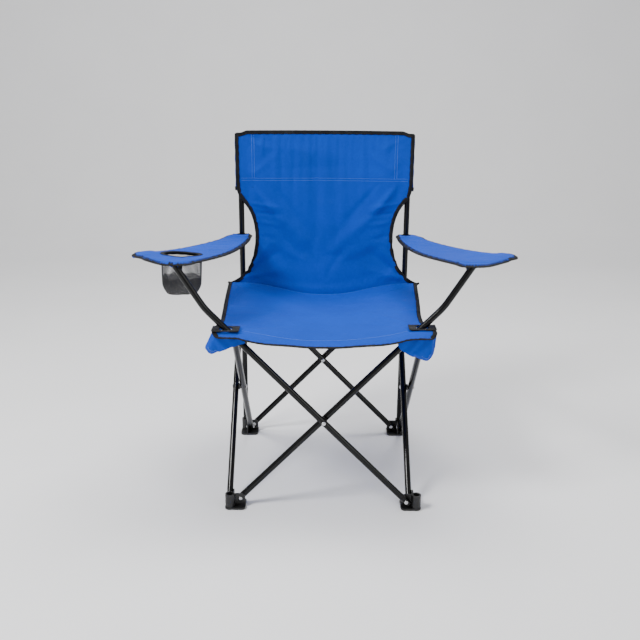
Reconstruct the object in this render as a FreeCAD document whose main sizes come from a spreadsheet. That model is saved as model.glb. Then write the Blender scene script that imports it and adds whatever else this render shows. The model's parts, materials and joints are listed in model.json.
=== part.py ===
# Folding camp chair with four crossed tube pairs, fabric seat and back, two armrests and a mesh cup holder.
# Millimetres. +Z is up, the front faces -Y, and the origin is on the ground under the middle of the chair.
# Seen from outside, each face of the frame has its outer tube running from upper left to lower right.
# That makes the four corners copies of each other, a quarter turn apart.
import FreeCAD, Part
import math
import os

import Sketcher

V = FreeCAD.Vector
doc = FreeCAD.newDocument("CampChair")

drivingDimensions = [
    ("pivotSpan", 420, "between the two end pivots of a crossed tube, level"),
    ("pivotRise", 430, "between the two end pivots of a crossed tube, upright, with the chair open"),
    ("pivotHeight", 23, "lower pivots above the ground"),
    ("cornerGap", 1.2, "between a tube's end and the post cup at a corner, at any lean"),
    ("postShift", 7, "post axis outside the face planes"),
    ("tubeRadius", 8, "outside radius of every tube"),
    ("tubeWall", 1.2, "tube wall"),
    ("tubeGap", 4, "between two crossed tubes"),
    ("tubeOverhang", 10, "tube end past its pivot"),
    ("postRise", 431, "top end of the back posts above the upper pivots"),
    ("armBendAt", 88, "start of the arm bend above the seat corner, along the tube"),
    ("armBendAngle", 12, "turn of the arm bend in degrees"),
    ("armBendRadius", 160, "arm bend at the tube axis"),
    ("armLength", 104, "straight part of the arm above its bend"),
    ("rivetRadius", 2.5, "rivet shank"),
    ("rivetHeadRadius", 5, "rivet head"),
    ("rivetHeadRise", 2.4, "rivet head height"),
    ("runningGap", 0.05, "radial gap of a rivet in its hole, and of a post in its foot"),
    ("faceGap", 0.3, "side gap between a tube and a lug"),
    ("spacerRadius", 8.5, "washer between two crossed tubes"),
    ("soleOutside", 12.6, "sole outside the post axis"),
    ("soleMargin", 1, "sole past the lugs"),
    ("soleThickness", 6, "sole of a foot"),
    ("soleCorner", 9, "corner radius of the sole"),
    ("soleBevel", 2, "bevel round the ground face"),
    ("cupWall", 4, "wall of the post cup on a foot, over the tube radius"),
    ("cupTop", 40, "rim of the post cup above the ground"),
    ("lugReach", 12, "end of a lug past its rivet"),
    ("lugRise", 14, "top of a foot's lugs above their rivets"),
    ("lugCorner", 9, "rounding of a lug's free corner"),
    ("sliderWall", 4, "wall of a slider"),
    ("sliderGap", 0.4, "radial gap between a slider and its post"),
    ("sliderHalfHeight", 15, "slider above and below its pivots"),
    ("capRise", 4, "domed end of a tube cap"),
    ("capDepth", 14, "plug of a tube cap inside the tube"),
    ("capGap", 0.1, "radial gap of a cap's plug in the tube"),
    ("clothThickness", 4, "every fabric solid"),
    ("clothGap", 1.5, "between a fabric solid and a tube, post or fitting beside it"),
    ("seatBehind", 15, "seat's rear edge ahead of the post axes"),
    ("seatAhead", 23, "seat's front edge ahead of the outer front tube's axis"),
    ("seatOutside", 34, "seat's side edges outside the post axes"),
    ("seatSag", 22, "seat's middle below its corners"),
    ("seatShoulder", 8, "start of the seat's slope inside the end pivots"),
    ("seatSlope", 80, "seat's slope across the chair"),
    ("seatCreaseGap", 0.6, "between the two halves of the seat"),
    ("tubeHoleGap", 5.5, "between a leaning front tube and the hole round it in the seat and its patch"),
    ("patchLength", 66, "webbing patch across the chair"),
    ("patchWidth", 42, "webbing patch front to back"),
    ("patchThickness", 1.6, "webbing patch"),
    ("pocketWidth", 40, "corner pocket across the chair"),
    ("pocketDepth", 34, "corner pocket front to back"),
    ("pocketHeight", 52, "corner pocket"),
    ("backOutside", 10, "back's upper sides outside the post axes"),
    ("backWaistInside", 40, "back's waist inside the post axes"),
    ("backFlareOutside", 26, "back's sides outside the post axes where it meets the seat"),
    ("backWaistRise", 167, "waist above the upper pivots"),
    ("backBandRise", 289, "lower end of the post sleeves above the upper pivots"),
    ("backTopRise", 452, "top edge of the back above the upper pivots"),
    ("backBow", 22, "back's middle behind its sides"),
    ("sleeveGap", 0.6, "radial gap between a sleeve and its post"),
    ("sleeveWall", 2, "sleeve wall"),
    ("armrestRise", 159, "armrest at the post above the upper pivots"),
    ("armrestGap", 3, "between an arm's cap and the armrest over it"),
    ("armrestInnerEnd", 28, "armrest inside the post at its rear end"),
    ("armrestAhead", 36, "armrest's front end ahead of the outer front tube's axis"),
    ("armrestReach", 230, "armrest's outer tip outside the post"),
    ("armrestCorner", 12, "corner radius of an armrest"),
    ("cupHolderRadius", 49, "outside of the cup holder"),
    ("cupHolderWall", 1.6, "cup holder wall"),
    ("cupHolderDepth", 104, "cup holder under the armrest"),
    ("cupHolderOut", 116, "cup holder's axis outside the post"),
    ("cupHolderAhead", 354, "cup holder's axis ahead of the post"),
    ("cupHolderTaper", 4, "cup holder's floor radius less than its rim"),
]

sheet = doc.addObject("Spreadsheet::Sheet", "Dims")
for row, (alias, value, note) in enumerate(drivingDimensions, 1):
    sheet.set(f"A{row}", note)
    sheet.set(f"B{row}", str(value))
    sheet.setAlias(f"B{row}", alias)
doc.recompute()


def dim(alias):
    return float(sheet.get(alias))


def sheetValue(text):
    """The number that an expression on the sheet gives now."""
    return float(sheet.evalExpression(text.replace("Dims.", "")))


# Sizes worked out from the driving dimensions, as expressions for the features
# and as numbers for the places.
cupRadiusText = "(Dims.tubeRadius + Dims.cupWall)"
pivotFromPost = f"({cupRadiusText} + sqrt(Dims.tubeOverhang ^ 2 + Dims.tubeRadius ^ 2) + Dims.cornerGap)"
postPlaceText = f"(Dims.pivotSpan / 2 + {pivotFromPost})"
facePlaceText = f"({postPlaceText} - Dims.postShift)"
outerTubeLine = f"({facePlaceText} + Dims.tubeRadius + Dims.tubeGap / 2)"
innerTubeLine = f"({facePlaceText} - Dims.tubeRadius - Dims.tubeGap / 2)"
halfSpan = dim("pivotSpan") / 2
facePlane = sheetValue(facePlaceText)
postPlace = sheetValue(postPlaceText)
tubeOffset = dim("tubeRadius") + dim("tubeGap") / 2
pivotLength = math.hypot(dim("pivotSpan"), dim("pivotRise"))
lean = math.degrees(math.atan2(dim("pivotSpan"), dim("pivotRise")))
upperPivot = dim("pivotHeight") + dim("pivotRise")
middlePivot = dim("pivotHeight") + dim("pivotRise") / 2
seatCorner = upperPivot + dim("tubeOverhang") + dim("tubeRadius") + dim("clothGap")
pivotLengthText = "sqrt(Dims.pivotSpan ^ 2 + Dims.pivotRise ^ 2)"
boreText = "Dims.rivetRadius + Dims.runningGap"
nodes = []


def rotation(axis, degrees):
    return FreeCAD.Rotation(axis, degrees)


def place(node, base=V(0, 0, 0), turn=FreeCAD.Rotation()):
    node.Placement = FreeCAD.Placement(base, turn)
    nodes.append(node)
    return node


# ---- sketch and feature helpers ----
def newBody(label):
    body = doc.addObject("PartDesign::Body", label)
    body.Label = label
    return body


def newSketch(body, role, name, lift=None):
    sketch = body.newObject("Sketcher::SketchObject", name)
    plane = next(part for part in body.Origin.OriginFeatures if part.Role == role)
    sketch.AttachmentSupport = [(plane, "")]
    sketch.MapMode = "FlatFace"
    if lift:
        sketch.setExpression("AttachmentOffset.Base.z", lift)
    return sketch


def bind(sketch, kind, *where, text):
    number = sketch.addConstraint(Sketcher.Constraint(kind, *where, 1.0))
    sketch.setExpression(f"Constraints[{number}]", text)


def addCircle(sketch, radius, across=None, up=None):
    circle = sketch.addGeometry(Part.Circle(V(1, 1, 0), V(0, 0, 1), 1))
    bind(sketch, "Radius", circle, text=radius)
    if across:
        bind(sketch, "DistanceX", -1, 1, circle, 3, text=across)
    else:
        sketch.addConstraint(Sketcher.Constraint("PointOnObject", circle, 3, -2))
    if up:
        bind(sketch, "DistanceY", -1, 1, circle, 3, text=up)
    else:
        sketch.addConstraint(Sketcher.Constraint("PointOnObject", circle, 3, -1))


def addOutline(sketch, corners):
    """Closed outline: each corner is (across, up) as a pair of expressions measured from the origin."""
    points = [V(sheetValue(across), sheetValue(up), 0) for across, up in corners]
    first = None
    for number, point in enumerate(points):
        line = sketch.addGeometry(Part.LineSegment(point, points[(number + 1) % len(points)]))
        first = line if first is None else first
    count = len(points)
    for number, (across, up) in enumerate(corners):
        line, following = first + number, first + (number + 1) % count
        sketch.addConstraint(Sketcher.Constraint("Coincident", line, 2, following, 1))
        point = points[number]
        for kind, text, value in (("DistanceX", across, point.x), ("DistanceY", up, point.y)):
            constraint = sketch.addConstraint(Sketcher.Constraint(kind, -1, 1, line, 1, value))
            sketch.setExpression(f"Constraints[{constraint}]", text)


def addPad(body, sketch, length, middle=False):
    pad = body.newObject("PartDesign::Pad", sketch.Name + "Pad")
    pad.Profile = sketch
    pad.setExpression("Length", length)
    pad.SideType = "Symmetric" if middle else "One side"
    doc.recompute()
    return pad


def addCutThrough(body, sketch):
    """Cuts the sketch right through the body, both ways from its plane."""
    before = body.Shape.Volume
    pocket = body.newObject("PartDesign::Pocket", sketch.Name + "Cut")
    pocket.Profile = sketch
    pocket.Type = "ThroughAll"
    pocket.SideType = "Symmetric"
    doc.recompute()
    if not pocket.Shape.Volume < before:
        raise RuntimeError(f"{sketch.Name} cut nothing from {body.Label}")
    return pocket


def roundEdges(body, kind, size, chosen):
    base = body.Tip
    names = [f"Edge{number}" for number, edge in enumerate(base.Shape.Edges, 1) if chosen(edge)]
    dressing = body.newObject(f"PartDesign::{kind}", body.Name + kind + str(len(body.Group)))
    dressing.Base = (base, names)
    dressing.setExpression("Radius" if kind == "Fillet" else "Size", size)
    doc.recompute()
    return dressing


def standing(edge):
    """A straight edge along the body's own Z axis."""
    return isinstance(edge.Curve, Part.Line) and abs(edge.Curve.Direction.z) > 0.999


# ---- tubes ----
def makeTube(label, length, pivots):
    """Straight tube along its own Z, with a rivet bore along Y at each pivot."""
    body = newBody(label)
    ring = newSketch(body, "XY_Plane", label + "Ring", "-Dims.tubeOverhang")
    addCircle(ring, "Dims.tubeRadius")
    addCircle(ring, "Dims.tubeRadius - Dims.tubeWall")
    addPad(body, ring, length)
    drillPivots(body, label, pivots)
    return body


def drillPivots(body, label, pivots):
    bores = newSketch(body, "XZ_Plane", label + "Bores")
    for pivot in pivots:
        addCircle(bores, boreText, up=pivot)
    addCutThrough(body, bores)


def makeArmTube(label):
    """Crossed tube of the front that goes on past the seat corner and bends up into an arm."""
    body = newBody(label)
    ring = newSketch(body, "XY_Plane", label + "Ring", "-Dims.tubeOverhang")
    addCircle(ring, "Dims.tubeRadius")
    addCircle(ring, "Dims.tubeRadius - Dims.tubeWall")
    spine = newSketch(body, "XZ_Plane", label + "Spine")
    bendText = pivotLengthText + " + Dims.armBendAt"
    start, radius, turn = sheetValue(bendText), dim("armBendRadius"), math.radians(dim("armBendAngle"))
    centre = V(radius, start, 0)
    bendEnd = centre + V(-math.cos(turn), math.sin(turn), 0) * radius
    armEnd = bendEnd + V(math.sin(turn), math.cos(turn), 0) * dim("armLength")
    spine.addGeometry(Part.LineSegment(V(0, -dim("tubeOverhang"), 0), V(0, start, 0)))
    bend = Part.ArcOfCircle(Part.Circle(centre, V(0, 0, 1), radius), math.pi - turn, math.pi)
    spine.addGeometry(bend)
    spine.addGeometry(Part.LineSegment(bendEnd, armEnd))
    spine.addConstraint(Sketcher.Constraint("PointOnObject", 0, 1, -2))
    spine.addConstraint(Sketcher.Constraint("Vertical", 0))
    spine.addConstraint(Sketcher.Constraint("Tangent", 0, 2, 1, 2))
    spine.addConstraint(Sketcher.Constraint("Tangent", 1, 1, 2, 1))
    bind(spine, "DistanceY", 0, 1, -1, 1, text="Dims.tubeOverhang")
    bind(spine, "DistanceY", -1, 1, 0, 2, text=bendText)
    bind(spine, "Radius", 1, text="Dims.armBendRadius")
    bind(spine, "Angle", 1, text="Dims.armBendAngle * 1 deg")
    bind(spine, "Distance", 2, text="Dims.armLength")
    pipe = body.newObject("PartDesign::AdditivePipe", label + "Pipe")
    pipe.Profile = ring
    pipe.Spine = spine
    doc.recompute()
    drillPivots(body, label, [None, pivotLengthText + " / 2"])
    return body


tubeLengthText = pivotLengthText + " + 2 * Dims.tubeOverhang"
allPivots = [None, pivotLengthText + " / 2", pivotLengthText]
# Each crossed tube: its foot's corner, its face's own direction, and whether it's the outer one.
# A face's frame has X along the face to the viewer's right outside it, and Y into the chair.
faces = {"front": 0, "right": 90, "rear": 180, "left": 270}


def faceTurn(face):
    return rotation(V(0, 0, 1), faces[face])


def onFace(face, along, inward, height):
    """A point given along a face, inward of its face plane, and above the ground."""
    return faceTurn(face).multVec(V(along, inward - facePlane, height))


for face in faces:
    for depth, side in (("outer", 1), ("inner", -1)):
        label = f"{face}_tube_{depth}"
        if face == "front":
            tube = makeArmTube(label)
        elif depth == "inner" and face == "left" or depth == "outer" and face == "right":
            tube = makeTube(label, tubeLengthText, allPivots[:2])
        else:
            tube = makeTube(label, tubeLengthText, allPivots)
        # The outer tube leans to the left as it rises, the inner one to the right.
        turn = faceTurn(face).multiply(rotation(V(0, 1, 0), -side * lean))
        if side < 0:
            turn = turn.multiply(rotation(V(0, 0, 1), 180))
        foot = onFace(face, side * halfSpan, -side * tubeOffset, dim("pivotHeight"))
        place(tube, foot, turn)

for side, sign in (("left", -1), ("right", 1)):
    post = newBody(f"post_{side}")
    ring = newSketch(post, "XY_Plane", f"post_{side}Ring")
    addCircle(ring, "Dims.tubeRadius")
    addCircle(ring, "Dims.tubeRadius - Dims.tubeWall")
    postTop = "Dims.pivotHeight + Dims.pivotRise + Dims.postRise"
    addPad(post, ring, postTop + " - Dims.soleThickness - Dims.runningGap")
    place(post, V(sign * postPlace, postPlace, dim("soleThickness") + dim("runningGap")))


# ---- moulded feet and sliders ----
lugNear = "(Dims.postShift - Dims.tubeGap / 2 + Dims.faceGap)"
lugFar = "(Dims.postShift + Dims.tubeGap / 2 - Dims.faceGap)"
lugEndText = f"({pivotFromPost} + Dims.lugReach)"


def addLugs(body, label, lift, height):
    """Two upright lugs, one in each face plane, that meet at the post."""
    lugs = newSketch(body, "XY_Plane", label + "Lugs", lift)
    addOutline(
        lugs,
        [
            (lugNear, lugNear),
            (lugEndText, lugNear),
            (lugEndText, lugFar),
            (lugFar, lugFar),
            (lugFar, lugEndText),
            (lugNear, lugEndText),
        ],
    )
    addPad(body, lugs, height)


def drillLugs(body, label, height):
    for role in ("XZ_Plane", "YZ_Plane"):
        bore = newSketch(body, role, label + "Rivet" + role[:2])
        addCircle(bore, boreText, across=pivotFromPost, up=height)
        addCutThrough(body, bore)


def makeFoot(label):
    """Flat sole, a round cup for a post, and two lugs for tubes. Its own origin is under the cup."""
    body = newBody(label)
    sole = newSketch(body, "XY_Plane", label + "Sole")
    low, high = "-Dims.soleOutside", lugEndText + " + Dims.soleMargin"
    addOutline(sole, [(low, low), (high, low), (high, high), (low, high)])
    addPad(body, sole, "Dims.soleThickness")
    roundEdges(body, "Fillet", "Dims.soleCorner", standing)
    roundEdges(body, "Chamfer", "Dims.soleBevel", lambda edge: edge.BoundBox.ZMax < 0.01)
    cup = newSketch(body, "XY_Plane", label + "Cup")
    addCircle(cup, cupRadiusText)
    addPad(body, cup, "Dims.cupTop")
    lugTop = "Dims.pivotHeight + Dims.lugRise"
    addLugs(body, label, "Dims.soleThickness / 2", lugTop + " - Dims.soleThickness / 2")
    end, top = sheetValue(lugEndText), sheetValue(lugTop)

    def freeCorner(edge):
        box = edge.BoundBox
        return abs(box.Center.z - top) < 0.01 and max(box.XMin, box.YMin) > end - 0.01

    roundEdges(body, "Fillet", "Dims.lugCorner", freeCorner)
    bore = newSketch(body, "XY_Plane", label + "Bore", "Dims.soleThickness")
    addCircle(bore, "Dims.tubeRadius + Dims.runningGap")
    pocket = body.newObject("PartDesign::Pocket", label + "BoreCut")
    pocket.Profile = bore
    pocket.Type = "ThroughAll"
    pocket.Reversed = True
    doc.recompute()
    drillLugs(body, label, "Dims.pivotHeight")
    return body


def makeSlider(label):
    # The slider's own origin is on the post axis, level with its pivots.
    body = newBody(label)
    collar = newSketch(body, "XY_Plane", label + "Collar")
    addCircle(collar, "Dims.tubeRadius + Dims.sliderGap + Dims.sliderWall")
    addPad(body, collar, "2 * Dims.sliderHalfHeight", middle=True)
    addLugs(body, label, "-Dims.sliderHalfHeight", "2 * Dims.sliderHalfHeight")
    end, reach = sheetValue(lugEndText), dim("sliderHalfHeight")

    def freeCorner(edge):
        box = edge.BoundBox
        return abs(abs(box.Center.z) - reach) < 0.01 and max(box.XMin, box.YMin) > end - 0.01

    roundEdges(body, "Fillet", "Dims.lugCorner", freeCorner)
    bore = newSketch(body, "XY_Plane", label + "Bore")
    addCircle(bore, "Dims.tubeRadius + Dims.sliderGap")
    addCutThrough(body, bore)
    drillLugs(body, label, None)
    return body


corners = {
    "front_left": (-1, -1, 0),
    "front_right": (1, -1, 90),
    "rear_right": (1, 1, 180),
    "rear_left": (-1, 1, 270),
}
for corner, (right, back, degrees) in corners.items():
    base = V(right * postPlace, back * postPlace, 0)
    place(makeFoot(f"foot_{corner}"), base, rotation(V(0, 0, 1), degrees))
for side in ("left", "right"):
    right, back, degrees = corners[f"rear_{side}"]
    base = V(right * postPlace, back * postPlace, upperPivot)
    place(makeSlider(f"slider_{side}"), base, rotation(V(0, 0, 1), degrees))


# ---- rivets, washers and caps ----
def makeRivet(name, grip, base, turn):
    """Dome-headed rivet along its own Z, with the middle of its grip at its origin."""
    half = f"({grip}) / 2 + Dims.runningGap"
    shank = doc.addObject("Part::Cylinder", name + "Shank")
    shank.setExpression("Radius", "Dims.rivetRadius")
    shank.setExpression("Height", f"2 * ({half})")
    shank.setExpression("Placement.Base.z", f"-({half})")
    heads = []
    for way, flip in ((1, 0), (-1, 180)):
        head = doc.addObject("Part::Ellipsoid", f"{name}Head{flip}")
        head.setExpression("Radius1", "Dims.rivetHeadRise")
        head.setExpression("Radius2", "Dims.rivetHeadRadius")
        head.setExpression("Radius3", "Dims.rivetHeadRadius")
        head.Angle1 = 0
        head.Placement = FreeCAD.Placement(V(0, 0, 0), rotation(V(1, 0, 0), flip))
        head.setExpression("Placement.Base.z", f"{way} * ({half})")
        heads.append(head)
    rivet = doc.addObject("Part::MultiFuse", name)
    rivet.Shapes = [shank] + heads
    rivet.Placement = FreeCAD.Placement(base, turn)
    return rivet


def group(label, members):
    holder = doc.addObject("Part::Compound", label)
    holder.Label = label
    holder.Links = members
    return place(holder)


alongFace = rotation(V(1, 0, 0), 90)
crossGrip = "4 * Dims.tubeRadius + Dims.tubeGap"
lugGrip = "2 * Dims.tubeRadius + Dims.tubeGap - Dims.faceGap"
lugGripMiddle = dim("tubeRadius") + dim("faceGap") / 2
for face in faces:
    turn = faceTurn(face).multiply(alongFace)
    middle = onFace(face, 0, 0, middlePivot)
    group(f"{face}_cross_rivet", [makeRivet(f"{face}CrossRivet", crossGrip, middle, turn)])
    washer = doc.addObject("Part::Cut", f"{face}_spacer")
    washer.Label = f"{face}_spacer"
    washer.Base = doc.addObject("Part::Cylinder", f"{face}SpacerDisc")
    washer.Tool = doc.addObject("Part::Cylinder", f"{face}SpacerBore")
    washer.Base.setExpression("Radius", "Dims.spacerRadius")
    washer.Tool.setExpression("Radius", boreText)
    for disc in (washer.Base, washer.Tool):
        disc.setExpression("Height", "Dims.tubeGap - 2 * Dims.runningGap")
    thickness = dim("tubeGap") - 2 * dim("runningGap")
    place(washer, middle + turn.multVec(V(0, 0, -thickness / 2)), turn)

# At each corner the outer tube of one face and the inner tube of the next one are riveted to the lugs.
cornerFaces = {
    "front_left": ("left", "front"),
    "front_right": ("front", "right"),
    "rear_right": ("right", "rear"),
    "rear_left": ("rear", "left"),
}


def cornerRivets(label, outerFace, innerFace, height, swap):
    # At the sliders the tubes have crossed, so each comes from its other end.
    rivets = []
    for face, side in ((outerFace, 1), (innerFace, -1)):
        along = side * halfSpan * (-1 if swap else 1)
        base = onFace(face, along, -side * lugGripMiddle, height)
        rivets.append(makeRivet(f"{label}{face}", lugGrip, base, faceTurn(face).multiply(alongFace)))
    return group(label, rivets)


for corner, (outerFace, innerFace) in cornerFaces.items():
    cornerRivets(f"foot_rivets_{corner}", outerFace, innerFace, dim("pivotHeight"), False)
cornerRivets("slider_rivets_left", "left", "rear", upperPivot, True)
cornerRivets("slider_rivets_right", "rear", "right", upperPivot, True)


def makeCap(label, base, turn):
    """Domed plug for a tube end. Its own origin is at the tube's end, with Z pointing out of the tube."""
    plug = doc.addObject("Part::Cylinder", label + "Plug")
    plug.setExpression("Radius", "Dims.tubeRadius - Dims.tubeWall - Dims.capGap")
    plug.setExpression("Height", "Dims.capDepth + Dims.capGap")
    plug.setExpression("Placement.Base.z", "-Dims.capDepth")
    dome = doc.addObject("Part::Ellipsoid", label + "Dome")
    dome.setExpression("Radius1", "Dims.capRise")
    dome.setExpression("Radius2", "Dims.tubeRadius")
    dome.setExpression("Radius3", "Dims.tubeRadius")
    dome.Angle1 = 0
    dome.setExpression("Placement.Base.z", "Dims.capGap")
    cap = doc.addObject("Part::Fuse", label)
    cap.Label = label
    cap.Base = plug
    cap.Tool = dome
    return place(cap, base, turn)


def armPoint(label):
    """End of an arm tube, and its direction there."""
    tube = doc.getObject(label)
    turn = math.radians(dim("armBendAngle"))
    radius = dim("armBendRadius")
    bendEnd = V(radius * (1 - math.cos(turn)), 0, pivotLength + dim("armBendAt") + radius * math.sin(turn))
    end = bendEnd + V(math.sin(turn), 0, math.cos(turn)) * dim("armLength")
    facing = tube.Placement.Rotation.multiply(rotation(V(0, 1, 0), dim("armBendAngle")))
    return tube.Placement.multVec(end), facing


for side, sign, armTube, sideTube in (
    ("left", -1, "front_tube_outer", "left_tube_inner"),
    ("right", 1, "front_tube_inner", "right_tube_outer"),
):
    postEnd = V(sign * postPlace, postPlace, upperPivot + dim("postRise"))
    makeCap(f"post_cap_{side}", postEnd, FreeCAD.Rotation())
    makeCap(f"arm_cap_{side}", *armPoint(armTube))
    tube = doc.getObject(sideTube)
    tubeEnd = V(0, 0, pivotLength + dim("tubeOverhang"))
    makeCap(f"side_tube_cap_{side}", tube.Placement.multVec(tubeEnd), tube.Placement.Rotation)


# ---- seat ----
holeText = f"(Dims.tubeRadius * {pivotLengthText} / Dims.pivotRise + Dims.tubeHoleGap)"
seatRear = f"({postPlaceText} - Dims.seatBehind)"
seatFront = f"({outerTubeLine} + Dims.seatAhead)"
aboveCorner = "Dims.tubeOverhang + Dims.tubeRadius + Dims.clothGap"
# A front tube leans, so where it passes a level depends on the height above the seat corner's pivot.
seatHoleAcross = f"(Dims.pivotSpan / 2 + ({aboveCorner}) * Dims.pivotSpan / Dims.pivotRise)"
patchLift = "(Dims.clothThickness + Dims.seatCreaseGap)"
patchMiddle = f"({patchLift} + Dims.patchThickness / 2)"
patchHoleAcross = f"({seatHoleAcross} + {patchMiddle} * Dims.pivotSpan / Dims.pivotRise)"


def makeSeatHalf(label, rearEdge, frontEdge):
    # Half of the seat panel, level over the corners of the frame and lower between them.
    body = newBody(label)
    section = newSketch(body, "XZ_Plane", label + "Section", f"-({rearEdge})")
    side = f"({postPlaceText} + Dims.seatOutside)"
    shoulder = "(Dims.pivotSpan / 2 - Dims.seatShoulder)"
    trough = f"({shoulder} - Dims.seatSlope)"
    under = [(side, "0"), (shoulder, "0"), (trough, "-Dims.seatSag")]
    over = [(across, f"{up} + Dims.clothThickness") for across, up in under]
    mirrored = [[(f"-{across}", up) for across, up in line] for line in (under, over)]
    addOutline(section, mirrored[0] + under[::-1] + over + mirrored[1][::-1])
    addPad(body, section, f"({rearEdge}) - ({frontEdge})")
    return body


crease = f"({seatRear} - {seatFront}) / 2"
rearHalf = makeSeatHalf("seat_rear", seatRear, f"{crease} + Dims.seatCreaseGap / 2")
frontHalf = makeSeatHalf("seat_front", f"{crease} - Dims.seatCreaseGap / 2", f"-{seatFront}")
place(rearHalf, V(0, 0, seatCorner))
for side, sign, line in (("Left", "-1", outerTubeLine), ("Right", "1", innerTubeLine)):
    hole = newSketch(frontHalf, "XY_Plane", f"seatHole{side}")
    addCircle(hole, holeText, across=f"{sign} * {seatHoleAcross}", up=f"-{line}")
    addCutThrough(frontHalf, hole)
place(frontHalf, V(0, 0, seatCorner))

for side, sign, line in (("left", -1, facePlane + tubeOffset), ("right", 1, facePlane - tubeOffset)):
    patch = newBody(f"corner_patch_{side}")
    outline = newSketch(patch, "XY_Plane", f"patch{side}Outline")
    halfLong, halfWide = "Dims.patchLength / 2", "Dims.patchWidth / 2"
    rearEdge = [("-" + halfLong, halfWide), (halfLong, halfWide)]
    addOutline(outline, [("-" + halfLong, "-" + halfWide), (halfLong, "-" + halfWide)] + rearEdge[::-1])
    addCircle(outline, holeText)
    addPad(patch, outline, "Dims.patchThickness")
    roundEdges(patch, "Fillet", "Dims.tubeRadius / 2", standing)
    across = sign * sheetValue(patchHoleAcross)
    place(patch, V(across, -line, seatCorner + sheetValue(patchLift)))
    pocket = doc.addObject("Part::Box", f"corner_pocket_{side}")
    pocket.Label = f"corner_pocket_{side}"
    for size, alias in (("Length", "pocketWidth"), ("Width", "pocketDepth"), ("Height", "pocketHeight")):
        pocket.setExpression(size, f"Dims.{alias}")
    inner = facePlane + tubeOffset + dim("tubeRadius") + dim("clothGap")
    left = inner if sign > 0 else -inner - dim("pocketWidth")
    low = seatCorner - dim("seatSag") / 4 - dim("clothGap") - dim("pocketHeight")
    place(pocket, V(left, -sheetValue(seatFront), low))


# ---- back ----
outline = doc.addObject("Part::Feature", "backOutline")
halfTop, waist = postPlace + dim("backOutside"), postPlace - dim("backWaistInside")
flare = postPlace + dim("backFlareOutside")
band, waistHeight = upperPivot + dim("backBandRise"), upperPivot + dim("backWaistRise")
top = upperPivot + dim("backTopRise")
low = seatCorner + dim("clothThickness") + dim("clothGap")


def sideCurve(sign):
    points = [V(sign * halfTop, 0, band), V(sign * waist, 0, waistHeight), V(sign * flare, 0, low)]
    curve = Part.BSplineCurve()
    curve.interpolate(Points=points, InitialTangent=V(0, 0, -1), FinalTangent=V(sign, 0, -0.4))
    return curve.toShape()


edges = [
    sideCurve(1),
    Part.makeLine(V(flare, 0, low), V(-flare, 0, low)),
    sideCurve(-1),
    Part.makeLine(V(-halfTop, 0, band), V(-halfTop, 0, top)),
    Part.makeLine(V(-halfTop, 0, top), V(halfTop, 0, top)),
    Part.makeLine(V(halfTop, 0, top), V(halfTop, 0, band)),
]
panelFace = Part.Face(Part.Wire(Part.__sortEdges__(edges)))
outline.Shape = panelFace.extrude(V(0, 2 * postPlace, 0))
# The panel hangs in a shallow arc from sleeve to sleeve, just ahead of them.
sleeveRadiusText = "(Dims.tubeRadius + Dims.sleeveGap + Dims.sleeveWall)"
slingText = f"({postPlaceText} - {sleeveRadiusText})"
bowText = f"(({slingText} ^ 2 + Dims.backBow ^ 2) / (2 * Dims.backBow))"
sideDepth = postPlace - sheetValue(sleeveRadiusText) - dim("clothThickness") - dim("clothGap")
bow = doc.addObject("Part::Cut", "backBowRing")
bow.Base = doc.addObject("Part::Cylinder", "backBowOutside")
bow.Tool = doc.addObject("Part::Cylinder", "backBowInside")
bow.Base.setExpression("Radius", bowText + " + Dims.clothThickness")
bow.Tool.setExpression("Radius", bowText)
for ring in (bow.Base, bow.Tool):
    ring.setExpression("Height", "2 * (Dims.pivotHeight + Dims.pivotRise + Dims.backTopRise)")
bowCentre = V(0, sideDepth + dim("backBow") - sheetValue(bowText), 0)
bow.Placement = FreeCAD.Placement(bowCentre, FreeCAD.Rotation())
back = doc.addObject("Part::Common", "back_panel")
back.Label = "back_panel"
back.Base = outline
back.Tool = bow
place(back)

for side, sign in (("left", -1), ("right", 1)):
    sleeve = newBody(f"sleeve_{side}")
    tubeSketch = newSketch(sleeve, "XY_Plane", f"sleeve{side}Ring")
    addCircle(tubeSketch, sleeveRadiusText)
    addCircle(tubeSketch, "Dims.tubeRadius + Dims.sleeveGap")
    addPad(sleeve, tubeSketch, "Dims.backTopRise - Dims.backBandRise")
    place(sleeve, V(sign * postPlace, postPlace, band))


# ---- armrests and cup holder ----
# Each armrest slopes from its post to just over the arm's cap, and runs as far behind
# the middle of the chair as ahead of it.
armTop = armPoint("front_tube_outer")[0].z + dim("capRise") + dim("tubeRadius") / 2 + dim("armrestGap")
armrestBase = upperPivot + dim("armrestRise")
armrestRun = postPlace + sheetValue(outerTubeLine)
armrestSlope = math.degrees(math.atan2(armTop - armrestBase, armrestRun))
slopeShare = math.cos(math.radians(armrestSlope))
armrestLength = f"({armrestRun / slopeShare} + Dims.armrestAhead)"
armrestBehind = f"({armrestLength} - 2 * {postPlaceText} / {slopeShare})"
# Corners of the leaf ahead of the post, from its inner edge round the front to its outer edge,
# as shares of the armrest's reach and length.
armrestLeaf = [(0.07, 0.63), (0.33, 0.98), (0.52, 1), (0.98, 0.82), (1, 0.69), (0.76, 0.59)]


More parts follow.
